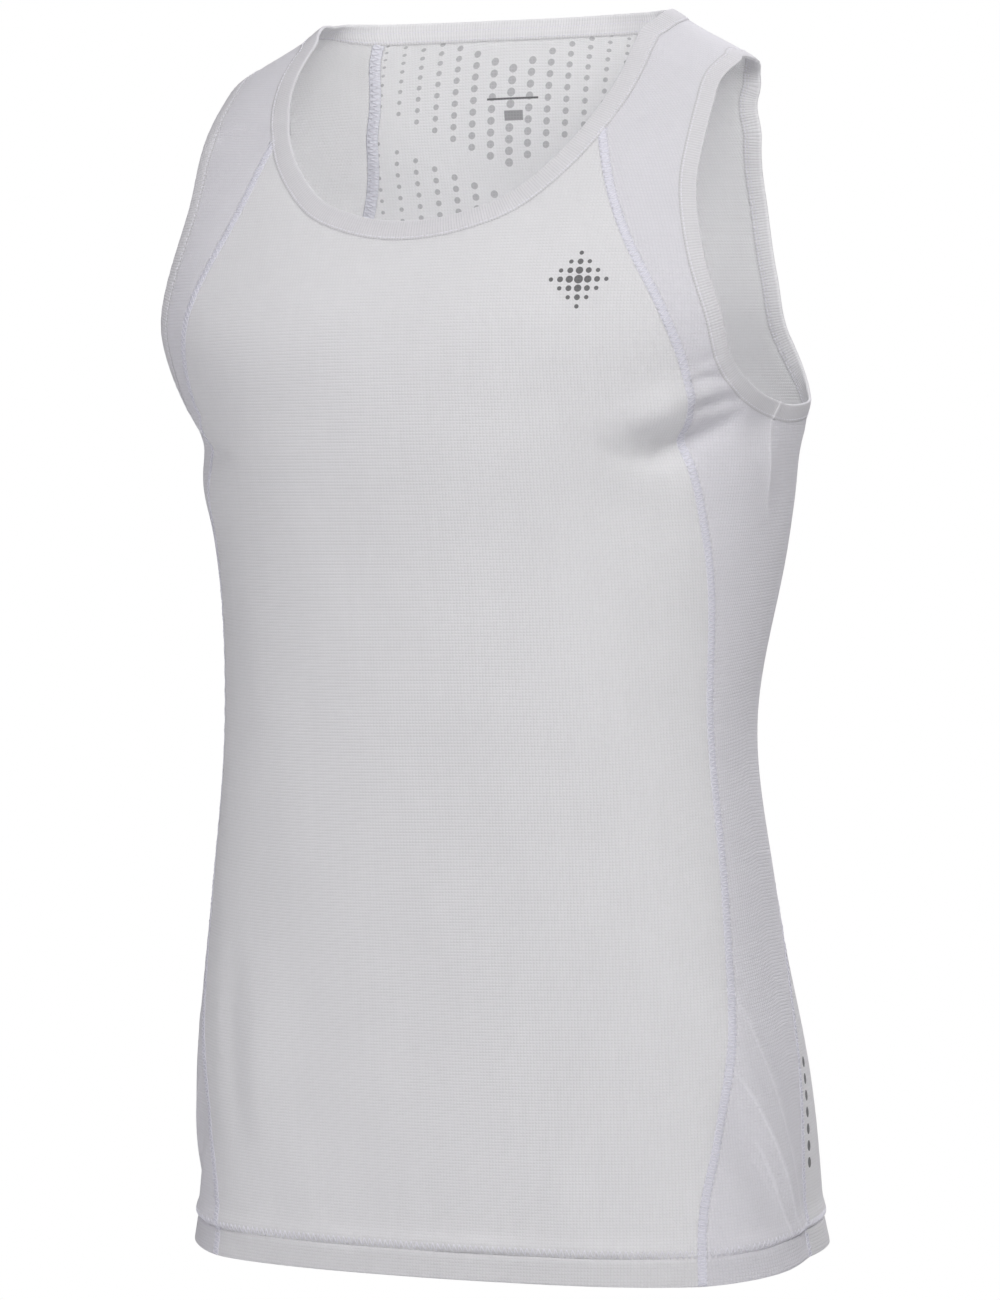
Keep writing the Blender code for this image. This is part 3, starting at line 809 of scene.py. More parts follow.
def cloth_points(places, lift=0.0):
    """The cloth's middle surface: the form, moved out or in by its folds, creases, sewing and hem."""
    flat = places.reshape(-1, 2)
    signed = signed_angle(flat)
    base = on_form(flat)
    moved = fold_height(base, signed) + crease_height(base, signed) + sewing_height(base)
    moved += flare_height(base, signed)
    moved += hem_height(flat, signed) + wave_height(flat)
    moved += np.broadcast_to(lift, places.shape[:-1]).reshape(-1)
    points = base + form_normal(flat) * moved[:, None]
    share = np.clip((TILT_START - flat[:, 1]) / (TILT_START - HEM_HEIGHT), 0.0, 1.0)
    points[:, 2] -= HANG_TILT * share * points[:, 0]
    return points.reshape(places.shape[:-1] + (3,))


# ------------------------------------------------------------------------------ measures of the cut


@cache
def cut_tables():
    """Distance round the body from the centre front, and up from mid height, on a table of places."""
    angles = np.linspace(0, 180, 361)
    heights = np.linspace(-0.72, 0.03, 301)
    points = body_form(*np.meshgrid(angles, heights))
    around = np.linalg.norm(np.diff(points, axis=1), axis=-1)
    around = np.concatenate([np.zeros((len(heights), 1)), np.cumsum(around, axis=1)], axis=1)
    up = np.linalg.norm(np.diff(points, axis=0), axis=-1)
    up = np.concatenate([np.zeros((1, len(angles))), np.cumsum(up, axis=0)])
    middle = int(np.argmin(np.abs(heights - MID_HEIGHT)))
    return angles, heights, around, up - up[middle]


def read_table(table, angle, height):
    """Values between the table's entries: straight in both directions."""
    angles, heights = cut_tables()[:2]
    column = np.clip((angle - angles[0]) / (angles[1] - angles[0]), 0, len(angles) - 1.001)
    row = np.clip((height - heights[0]) / (heights[1] - heights[0]), 0, len(heights) - 1.001)
    i, j = row.astype(int), column.astype(int)
    s, t = row - i, column - j
    low = table[i, j] * (1 - t) + table[i, j + 1] * t
    high = table[i + 1, j] * (1 - t) + table[i + 1, j + 1] * t
    return low * (1 - s) + high * s


def cut_uv(places, centre):
    """Metres across from the piece's centre angle, and metres up, as the cloth was cut."""
    _, _, around, up = cut_tables()
    signed = signed_angle(places)
    angle, height = np.abs(signed), places[..., 1]
    across = read_table(around, angle, height) - read_table(around, np.full_like(angle, centre), height)
    return np.stack([np.where(signed < 0, -across, across), read_table(up, angle, height)], axis=-1)


# ------------------------------------------------------------------------------ meshes


def grid_faces(rows, columns, first=0):
    corner = first + np.arange(rows * columns).reshape(rows, columns)
    quads = np.stack([corner[:-1, :-1], corner[:-1, 1:], corner[1:, 1:], corner[1:, :-1]], axis=-1)
    return quads.reshape(-1, 4)


def joined(grids):
    """All places of grids that share edges, with faces on them, and the index that makes shared places one."""
    places = np.concatenate([grid.reshape(-1, 2) for grid in grids])
    first = 0
    faces = []
    for grid in grids:
        faces.append(grid_faces(grid.shape[0], grid.shape[1], first))
        first += grid.shape[0] * grid.shape[1]
    wrapped = np.round(np.stack([places[:, 0] % 360, places[:, 1]], axis=-1), 6)
    _, kept, index = np.unique(wrapped, axis=0, return_index=True, return_inverse=True)
    return places, np.concatenate(faces), kept, index.reshape(-1)


def border_ends(faces):
    """Which directed sides of the faces lie on the sheet's edge, and all sides' end vertices."""
    ends = np.stack([faces, np.roll(faces, -1, axis=1)], axis=-1)
    _, index, count = np.unique(
        np.sort(ends.reshape(-1, 2), axis=1), axis=0, return_inverse=True, return_counts=True
    )
    return (count[index.reshape(-1)] == 1).reshape(ends.shape[:2]), ends


def face_normals(points, faces):
    corners = points[faces]
    return np.cross(corners[:, 2] - corners[:, 0], corners[:, 3] - corners[:, 1])


def drawn_in(points, faces, distance):
    """Moves the edge of a sheet inwards along the cloth, square to each edge and mitred at corners."""
    border, ends = border_ends(faces)
    normals = np.repeat(unit(face_normals(points, faces))[:, None], 4, axis=1)[border]
    ends = ends[border]
    inward = unit(np.cross(normals, points[ends[:, 1]] - points[ends[:, 0]]))
    total = np.zeros_like(points)
    np.add.at(total, ends[:, 0], inward)
    np.add.at(total, ends[:, 1], inward)
    size = dot(total, total)
    size[size == 0] = 1.0
    return points + total * (2 * distance / size)[:, None]


def shell(points, faces, corner_uv, wall):
    """A closed shell round a sheet: the sheet moved half a wall out and half in, and a rim between.

    Gives points, faces, their corners' UV, and a material index: 0 outside and rim, 1 inside.
    """
    count = len(points)
    normals = np.zeros_like(points)
    np.add.at(normals, faces, np.repeat(face_normals(points, faces)[:, None], 4, axis=1))
    offset = unit(normals) * np.broadcast_to(wall, count)[:, None] / 2
    border, ends = border_ends(faces)
    first, second = ends[border].T
    rim = np.stack([second, first, first + count, second + count], axis=-1)
    start_uv = corner_uv[border]
    end_uv = np.roll(corner_uv, -1, axis=1)[border]
    rim_uv = np.stack([end_uv, start_uv, start_uv, end_uv], axis=1)
    all_faces = np.concatenate([faces, faces[:, ::-1] + count, rim])
    all_uv = np.concatenate([corner_uv, corner_uv[:, ::-1], rim_uv])
    side = np.concatenate([np.zeros(len(faces)), np.ones(len(faces)), np.zeros(len(rim))])
    return np.concatenate([points + offset, points - offset]), all_faces, all_uv, side


def ring_walls(here, there):
    """Faces from rings of points to the next rings."""
    walls = np.stack([here, np.roll(here, -1, axis=-1), np.roll(there, -1, axis=-1), there], axis=-1)
    return walls.reshape(-1, 4)


def tubes(paths, normals, radius):
    """Four-sided threads along many short paths at once, each closed at its ends.

    paths and normals are (threads, points, 3). A ring of four points stands square to the path at each
    point, at `radius` from it.
    """
    threads, count, _ = paths.shape
    tangent = unit(np.gradient(paths, axis=1))
    side = unit(np.cross(normals, tangent))
    up = np.cross(tangent, side)
    turn = (np.arange(4) + 0.5) * pi / 2
    ring = side[:, :, None] * np.cos(turn)[:, None] + up[:, :, None] * np.sin(turn)[:, None]
    points = (paths[:, :, None] + radius * ring).reshape(-1, 3)
    corner = np.arange(threads * count * 4).reshape(threads, count, 4)
    faces = np.concatenate([ring_walls(corner[:, :-1], corner[:, 1:]), corner[:, 0, ::-1], corner[:, -1]])
    return points, faces


def build_mesh(name, points, faces, corner_uv, side, finishes, sharp=None, measures=()):
    """A mesh object from arrays of four-cornered faces, with a material index for each.

    measures are named vectors kept on its points. Both faces of a shell share them.
    """
    mesh = bpy.data.meshes.new(name)
    mesh.vertices.add(len(points))
    mesh.vertices.foreach_set("co", np.ascontiguousarray(points, np.float32).reshape(-1))
    mesh.loops.add(faces.size)
    mesh.loops.foreach_set("vertex_index", np.ascontiguousarray(faces, np.int32).reshape(-1))
    mesh.polygons.add(len(faces))
    mesh.polygons.foreach_set("loop_start", np.arange(0, faces.size, 4, dtype=np.int32))
    mesh.polygons.foreach_set("material_index", np.asarray(side, np.int32))
    mesh.update(calc_edges=True)
    layer = mesh.uv_layers.new(name="cut")
    layer.data.foreach_set("uv", np.ascontiguousarray(corner_uv, np.float32).reshape(-1))
    for word, vectors in dict(measures).items():
        vectors = np.tile(vectors, (len(points) // len(vectors), 1))
        layer = mesh.attributes.new(word, "FLOAT_VECTOR", "POINT")
        layer.data.foreach_set("vector", np.ascontiguousarray(vectors, np.float32).reshape(-1))
    mesh.shade_smooth()
    if sharp is not None:
        mesh.set_sharp_from_angle(angle=radians(sharp))
    for finish in finishes:
        mesh.materials.append(material(finish))
    if mesh.validate():
        raise RuntimeError(name + ": the mesh had faulty faces")
    piece = bpy.data.objects.new(name, mesh)
    bpy.context.scene.collection.objects.link(piece)
    return piece


# ------------------------------------------------------------------------------ materials

# How far light walks in the cloth, seen from outside and from inside, and how much of it enters inside
OUTER_WALK = 0.0012
INNER_WALK = 0.0030
INNER_SHEERNESS = 0.95

# Bands of dots on the back. Columns lean and climb outwards while their dots grow smaller.
COLUMN_PITCH = 0.0120
COLUMN_OFFSET = 0.0045
COLUMN_CLIMB = 0.0056
FIRST_CLIMB_LESS = 0.0012
COLUMNS = 10
ROW_PITCH = 0.00695
BAND_PITCH = 0.0789
BAND_START = 0.2276
BAND_ROWS = 9
LEAN = 0.125
LEAN_START = 0.259
LEAN_END = 0.231
DOT_RADIUS = 0.00255
DOT_SHRINK = 0.0002
DOT_LEAST = 0.0009

# The line of larger dots low beside each back seam
LINE_PITCH = 0.0097
LINE_ASIDE = 0.0112
LINE_RADIUS = 0.0031
LINE_MIDDLE = 8.5
LINE_DOTS = 7

# The lozenge on the chest: its middle on the cut, and its graded dots
MARK_MIDDLE = (0.107, 0.159)
MARK_PITCH = 0.0052
MARK_RADIUS = 0.0025
MARK_SHRINK = 0.00042
MARK_RINGS = 3
OUTSIDE_SOFTNESS = 0.00010
INSIDE_SOFTNESS = 0.00026
MARK_SOFTNESS = 0.00012


def new_node(tree, kind, settings=(), **inputs):
    """A node with its settings made, and its inputs set to constants or linked to values."""
    node = tree.nodes.new("ShaderNode" + kind)
    for name, setting in dict(settings).items():
        setattr(node, name, setting)
    for name, value in inputs.items():
        put(node.inputs[name.replace("_", " ")], value)
    return node


def put(socket, value):
    if isinstance(value, Value):
        socket.id_data.links.new(value.socket, socket)
    else:
        socket.default_value = value


def calculated(operation, *values):
    """One math node on values and plain numbers."""
    tree = next(value.tree for value in values if isinstance(value, Value))
    node = new_node(tree, "Math", {"operation": operation})
    for socket, value in zip(node.inputs, values):
        put(socket, value)
    return Value(node.outputs[0])


def formula(operation):
    return lambda value, *others: calculated(operation, value, *others)


class Value:
    """A number that a material's nodes work out. Formulas are written on it as on a plain number."""

    def __init__(self, socket):
        self.socket = socket
        self.tree = socket.id_data

    def __rsub__(self, number):
        return calculated("SUBTRACT", number, self)

    __sub__ = formula("SUBTRACT")
    __add__ = __radd__ = formula("ADD")
    __mul__ = __rmul__ = formula("MULTIPLY")
    __mod__ = formula("FLOORED_MODULO")
    __pow__ = formula("POWER")
    __lt__ = formula("LESS_THAN")
    __abs__ = formula("ABSOLUTE")


larger = formula("MAXIMUM")
smaller = formula("MINIMUM")


def soft_step(value, start, end):
    """0 up to start, 1 from end on, and a smooth step between."""
    smooth = {"interpolation_type": "SMOOTHSTEP"}
    node = new_node(value.tree, "MapRange", smooth, Value=value, From_Min=start, From_Max=end)
    return Value(node.outputs["Result"])


def arch(value, pitch):
    """A row of round arches, 0 at each multiple of the pitch and 1 half way: |sin(pi x / pitch)|."""
    return abs(calculated("SINE", value * (pi / pitch)))


def cell(value, pitch):
    """The number of the nearest multiple of the pitch, and the distance past it."""
    number = calculated("ROUND", value * (1 / pitch))
    return number, value - number * pitch


def mixed(share, first, second):
    """The first colour where the share is 0, and the second where it is 1."""
    node = new_node(share.tree, "Mix", {"data_type": "RGBA"}, Factor=share)
    for name, value in (("A", first), ("B", second)):
        put(next(s for s in node.inputs if s.name == name and s.type == "RGBA"), value)
    return Value(next(s for s in node.outputs if s.type == "RGBA"))


def opaque(colour):
    return (*colour, 1.0)


def shaded(colour, shade):
    """A colour times a grey share, through a mix with black."""
    return mixed(shade, (0.0, 0.0, 0.0, 1.0), opaque(colour))


class Shader:
    """One material and what its formulas start from."""

    def __init__(self, name, roughness, sheen=0.0, subsurface=0.0, walk=0.0):
        self.material = bpy.data.materials.new(name)
        self.material.use_nodes = True
        self.tree = self.material.node_tree
        self.inputs = self.tree.nodes["Principled BSDF"].inputs
        self.inputs["Roughness"].default_value = roughness
        self.inputs["Specular IOR Level"].default_value = 0.25
        self.inputs["Sheen Weight"].default_value = sheen
        self.inputs["Sheen Roughness"].default_value = 0.5
        if subsurface:
            self.inputs["Subsurface Weight"].default_value = subsurface
            self.inputs["Subsurface Radius"].default_value = (1.0, 1.0, 1.0)
            self.inputs["Subsurface Scale"].default_value = walk

    def numbers(self, node, output):
        """The three numbers of a node's vector."""
        parts = new_node(self.tree, "SeparateXYZ", Vector=Value(node.outputs[output]))
        return [Value(part) for part in parts.outputs]

    def cut(self):
        """Metres across and metres up on the flat cut."""
        return self.numbers(new_node(self.tree, "UVMap", {"uv_map": "cut"}), "UV")[:2]

    def measure(self, word):
        """The three numbers of a measure kept on the piece's points."""
        return self.numbers(new_node(self.tree, "Attribute", {"attribute_name": word}), "Vector")

    def noise(self, scale, detail=2.0, stretch=(1.0, 1.0, 1.0)):
        """Noise on object coordinates, about 0."""
        place = Value(new_node(self.tree, "TexCoord").outputs["Object"])
        mapping = new_node(self.tree, "Mapping", Vector=place, Scale=stretch)
        place = Value(mapping.outputs["Vector"])
        noise = new_node(self.tree, "TexNoise", Vector=place, Scale=scale, Detail=detail)
        return Value(noise.outputs["Fac"]) - 0.5

    def finish(self, colour, height, depth):
        """Sets the colour, and a bump of the given depth in metres."""
        bump = new_node(self.tree, "Bump", Strength=1.0, Distance=depth, Height=height)
        put(self.inputs["Base Color"], colour)
        put(self.inputs["Normal"], Value(bump.outputs["Normal"]))
        return self.material


def grid_knit(name, colour, prints=(), inside=False):
    """Fine grid knit: pillowed cells with grooves along and across, yarn fuzz, and broad mottling. Pressed
    creases are paler along their crest, partly as worn knit and partly as a painted highlight, and the doubled
    hem is a little darker.

    The inside shows more of the light that falls on the cloth from behind.
    """
    walk, sheerness = (INNER_WALK, INNER_SHEERNESS) if inside else (OUTER_WALK, sizes().sheerness)
    make = Shader(name, 0.80, sheen=0.10, subsurface=sheerness, walk=walk)
    across, up = make.cut()
    distance, strength, above = make.measure("pressed")
    doubled = soft_step(above, HEM_FOLD + 0.0006, HEM_FOLD - 0.0006)
    # crest: where the pressed creases get their painted highlight, partly also the paler worn knit
    crest = soft_step(abs(distance), 0.0016, 0.0002) * strength
    pitch = sizes().knit_pitch
    pillow = smaller(arch(across, pitch), arch(up, pitch)) ** 0.55
    fuzz = make.noise(1900.0)
    mottle = make.noise(26.0, 3.0)
    streak = make.noise(240.0, 2.0, (1.0, 1.0, 0.06))
    shade = 0.90 + 0.075 * pillow + 0.10 * fuzz + 0.045 * mottle + 0.03 * streak
    # Painted highlight on the pressed creases' crest, partly also worn knit
    tint = shaded(colour, shade + 0.12 * crest - 0.07 * doubled)
    for row in prints:
        ground, ink = np.array(colours().body), np.array(getattr(colours(), row.ink))
        tint = mixed(row.mask(make, across, up), tint, opaque(ground + row.strength * (ink - ground)))
    return make.finish(tint, pillow + 0.35 * fuzz + 1.2 * crest, 0.00022)


def ribbed_cloth(name, colour, pitch, depth, folded=False):
    """Smooth jersey with fine ribs square to its length, as bindings and tapes have. A folded one has a
    painted highlight along its fold and on its join, and painted shade in the nip of its sewn edges."""
    make = Shader(name, 0.74, sheen=0.10)
    along, across = make.cut()
    rib = arch(along, pitch) ** 0.7
    course = arch(across, pitch * 1.3)
    fuzz = make.noise(2400.0)
    shade = 0.87 + 0.12 * rib + 0.09 * fuzz + 0.06 * make.noise(60.0)
    if folded:
        from_fold, from_sewn, from_join = make.measure("binding")
        # Painted highlights along the fold and on the join's ridge
        shade += 0.09 * soft_step(from_fold, 0.0017, 0.0006) + 0.12 * soft_step(from_join, 0.0014, 0.0007)
        # Painted shade in the nip along the sewn edges
        shade -= 0.14 * soft_step(from_sewn, 0.0011, 0.0003)
    return make.finish(shaded(colour, shade), rib + 0.3 * course + 0.3 * fuzz, depth)


def sewing_thread(name, colour):
    """Soft textured thread: a fine twist and a change of tone from stitch to stitch."""
    make = Shader(name, 0.62, sheen=0.2)
    twist = make.noise(5200.0, 1.0)
    shade = 0.96 + 0.14 * twist + 0.04 * make.noise(420.0, 1.0)
    return make.finish(shaded(colour, shade), twist, 0.00006)


def pale_floor(name, colour):
    """Matt floor with a faint mottling."""
    make = Shader(name, 0.6)
    mottle = make.noise(3.0, 3.0)
    return make.finish(shaded(colour, 0.97 + 0.03 * mottle), mottle, 0.0005)


def disc(across, up, radius, softness):
    """1 inside a round dot about (0, 0), 0 outside."""
    distance = calculated("SQRT", across * across + up * up)
    return 1.0 - soft_step(distance - radius, -softness, softness)


def back_print(softness):
    """Rows of dots on the back, in bands that climb outwards from the centre while the dots grow smaller,
    and a line of larger dots low beside each back seam."""

    def mask(make, across, up):
        lean = (LEAN_START - larger(up, LEAN_END)) * LEAN
        column, x = cell(across - COLUMN_OFFSET - lean, COLUMN_PITCH)
        column = abs(column)
        climb = column * COLUMN_CLIMB - smaller(column, 1.0) * FIRST_CLIMB_LESS
        along = (up - BAND_START - climb) % BAND_PITCH
        row = calculated("FLOOR", along * (1 / ROW_PITCH))
        radius = larger(DOT_RADIUS - column * DOT_SHRINK, DOT_LEAST)
        dots = disc(x, along - row * ROW_PITCH - ROW_PITCH / 2, radius, softness)
        dots *= (row < BAND_ROWS - 0.5) * (column < COLUMNS + 0.5)
        away, run, _ = make.measure("beside_seam")
        line = disc(away - LINE_ASIDE, run % LINE_PITCH - LINE_PITCH / 2, LINE_RADIUS, softness)
        line *= abs(run - LINE_MIDDLE * LINE_PITCH) < LINE_DOTS / 2 * LINE_PITCH
        return larger(dots, line)

    return mask


def chest_mark(make, across, up):
    """A small lozenge of graded dots on the wearer's left breast."""
    column, x = cell(across - MARK_MIDDLE[0], MARK_PITCH)
    row, y = cell(up - MARK_MIDDLE[1], MARK_PITCH)
    ring = abs(column) + abs(row)
    return disc(x, y, MARK_RADIUS - ring * MARK_SHRINK, MARK_SOFTNESS) * (ring < MARK_RINGS + 0.5)


def block(middle, half):
    """1 inside an upright rectangle on the cut, 0 outside."""

    def mask(make, across, up):
        return larger(abs(across - middle[0]) - half[0], abs(up - middle[1]) - half[1]) < 0.0

    return mask


# A print's ink lies over the cloth's outer colour with this strength
Print = namedtuple("Print", "mask ink strength")
CHEST_PRINT = Print(chest_mark, "mark", 1.0)
BACK_PRINT = Print(back_print(OUTSIDE_SOFTNESS), "reflective", 1.0)
BACK_PRINT_INSIDE = Print(back_print(INSIDE_SOFTNESS), "reflective", 0.47)
NECK_RULE = Print(block((0.002, 0.2690), (0.0165, 0.0006)), "reflective", 1.0)
NECK_BOX = Print(block((0.002, 0.2590), (0.0060, 0.0030)), "reflective", 0.7)

Finish = namedtuple("Finish", "maker colour settings")
FINISHES = {
    "front_knit": Finish(grid_knit, "body", {"prints": [CHEST_PRINT]}),
    # The inside finishes use the paler inside colours: painted light on the shaded inner faces
    "front_inside": Finish(grid_knit, "inside", {"inside": True}),
    "back_knit": Finish(grid_knit, "body", {"prints": [BACK_PRINT]}),
    "back_inside": Finish(
        grid_knit, "inside", {"prints": [BACK_PRINT_INSIDE, NECK_RULE, NECK_BOX], "inside": True}
    ),
    "side_knit": Finish(grid_knit, "side", {}),
    "side_inside": Finish(grid_knit, "side_inside", {"inside": True}),
    # folded: painted highlights along the fold and on the join, and painted shade at the sewn edges
    "binding_knit": Finish(ribbed_cloth, "binding", {"pitch": 0.0017, "depth": 0.00022, "folded": True}),
    "binding_inside": Finish(
        ribbed_cloth, "binding_inside", {"pitch": 0.0017, "depth": 0.00022, "folded": True}
    ),
    "tape_weave": Finish(ribbed_cloth, "tape", {"pitch": 0.0018, "depth": 0.00015}),
    "seam_ground": Finish(ribbed_cloth, "ribbon", {"pitch": 0.0017, "depth": 0.00010}),
    "sewing_thread": Finish(sewing_thread, "thread", {}),
    "pale_floor": Finish(pale_floor, "floor", {}),
}


@cache
def material(name):
    """The singlet's finishes, each made once."""
    maker, colour, settings = FINISHES[name]
    return maker(name, getattr(colours(), colour), **settings)


# ------------------------------------------------------------------------------ pieces of cloth


def settle(piece, slot, *nodes):
    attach(piece, "root")
    if nodes:
        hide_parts(*nodes)


def cut_panel(node, kind, slot, grids, centre, hand=1):
    """A cut panel: its grids become one sheet, drawn in at its seams, and then a closed shell. Its flat area
    is the sum of its faces on the cut, each half the product of its diagonals."""
    places, faces, kept, index = joined(grids)
    if hand < 0:
        places = mirrored(places)
        faces = faces[:, ::-1]
    corner_uv = cut_uv(places, centre)[faces]
    places = places[kept]
    faces = index[faces]
    points = drawn_in(cloth_points(places), faces, SEAM_GAP / 2)
    made = shell(points, faces, corner_uv, 2 * half_wall(places))
    # Distances to the pressed creases, which the knit's material reads to paint their crest highlight
    measures = {"pressed": pressed_lines(places)}
    if centre == 180:
        measures["beside_seam"] = beside_seam(places)
    finishes = (kind + "_knit", kind + "_inside")
    piece = build_mesh(node + "_cloth", *made, finishes, sharp=55, measures=measures)
    settle(piece, slot, node)
    (x, y), (u, v) = (corner_uv[:, 2] - corner_uv[:, 0]).T, (corner_uv[:, 3] - corner_uv[:, 1]).T
    area = np.abs(x * v - y * u).sum() / 2


def binding_profile(width):
    """Across a folded binding: outer leg, round fold at the free edge, inner leg.

    Columns: metres from the sewn edge, and height off the middle of the cloth. The legs are slightly crowned
    and sink where they are stitched.
    """
    half = (sizes().binding_height - sizes().binding_wall) / 2
    straight_end = width - half - sizes().binding_wall / 2
    leg = np.linspace(-LEG_TUCK, straight_end, 14)
    crown = LEG_CROWN * np.sin(pi * np.clip(leg, 0, width) / width)
    crown -= LEG_SINK * bell(leg - LEG_SINK_AT, LEG_SINK_WIDTH)
    crown -= LEG_TUCK_DEPTH * np.clip(-leg / LEG_TUCK, 0, 1)
    turn = np.linspace(0, pi, 8)[1:-1]
    fold = np.stack([straight_end + half * np.sin(turn), half * np.cos(turn)], axis=-1)
    outer = np.stack([leg, half + crown], axis=-1)
    return np.concatenate([outer, fold, outer[::-1] * (1, -1)])


def stitch_binding(name, sewn, binding, hand):
    """A row of stitches along the sewn edge on both faces, and one along the inner leg."""
    surface = sizes().binding_height / 2
    stitching = Sewing(sewn, hand)
    for face in (1, -1):
        stitching.row(EDGE_STITCHES_AT, 0.0, EDGE_STITCH, face, surface)
    stitching.row(binding.stitches_at, binding.stitches_height, EDGE_STITCH, -1, surface)
    stitching.piece(name, "binding")


def bind(name, edges, binding, hand=1):
    """A binding and its stitches. Its folded profile is carried round the opening: the sewn and the free edge
    give the places across it, and the profile the height off the cloth. Its ends meet in a thicker join."""
    free, sewn = edges
    stitch_binding(name.format("stitching"), sewn, binding, hand)
    profile = binding_profile(binding.width)
    length = form_length(sewn)[-1]
    shares = np.linspace(0, 1, int(round(length / binding.face_length)) + 1)
    if binding.join_at:
        shares = np.union1d(shares, binding.join_at + np.linspace(-JOIN_REACH, JOIN_REACH, 17) / length)
    count = len(shares) - 1
    run = shares * length
    free = read_line(free, shares, guide=sewn)
    sewn = read_line(sewn, shares)
    across = (profile[:, 0] / binding.width)[:, None, None]
    places = sewn * (1 - across) + free * across
    pucker = LEG_PUCKER * np.sin(2 * pi * run / LEG_PUCKER_LENGTH) * np.sin(run * 41.0)
    height = profile[:, 1:2] * (1 + pucker)
    past = np.full(count + 1, length)
    if binding.join_at:
        past = run - binding.join_at * length
        dip = JOIN_DIP * bell(past - JOIN_DIP_AT, JOIN_DIP_WIDTH)
        height = height * (1 + JOIN_RIDGE * bell(past, JOIN_RIDGE_WIDTH) - dip)
    places[..., 0] *= hand
    points = cloth_points(places, height)[:, :-1].reshape(-1, 3)
    flat_faces = grid_faces(len(profile), count + 1)
    row, column = np.divmod(flat_faces, count + 1)
    faces = row * count + column % count
    over = run_length(profile)
    corner_uv = np.stack(np.meshgrid(run, over), axis=-1).reshape(-1, 2)[flat_faces]
    if hand < 0:
        faces = faces[:, ::-1]
        corner_uv = corner_uv[:, ::-1]
    *made, _ = shell(points, faces, corner_uv, sizes().binding_wall)
    inner_leg = made[2][:, 0, 1] > over[-1] / 2
    # Distances from the fold, from the sewn edges and from the join, which the binding's material reads to
    # paint highlights and shade
    from_fold = np.abs(over - over[-1] / 2)[:, None]
    from_sewn = np.minimum(over, over[-1] - over)[:, None]
    kept = np.stack(np.broadcast_arrays(from_fold, from_sewn, np.abs(past[:-1])), axis=-1).reshape(-1, 3)
    node = name.format("binding")
    finishes = ("binding_knit", "binding_inside")
    piece = build_mesh(node + "_cloth", *made, inner_leg, finishes, sharp=60, measures={"binding": kept})
    settle(piece, "binding", node)


# ------------------------------------------------------------------------------ sewing


def stations(line, run, across):
    """Places at distances `run` along a line and `across` to its outer side."""
    length = form_length(line)[-1]
    base = read_line(line, run / length)
    near = 0.0012
    ahead = read_line(line, np.clip(run + near, 0, length) / length)
    behind = read_line(line, np.clip(run - near, 0, length) / length)
    along = on_form(ahead) - on_form(behind)
    outer = unit(np.cross(along, form_normal(base)))
    return moved_along_form(base, outer * across[:, None])


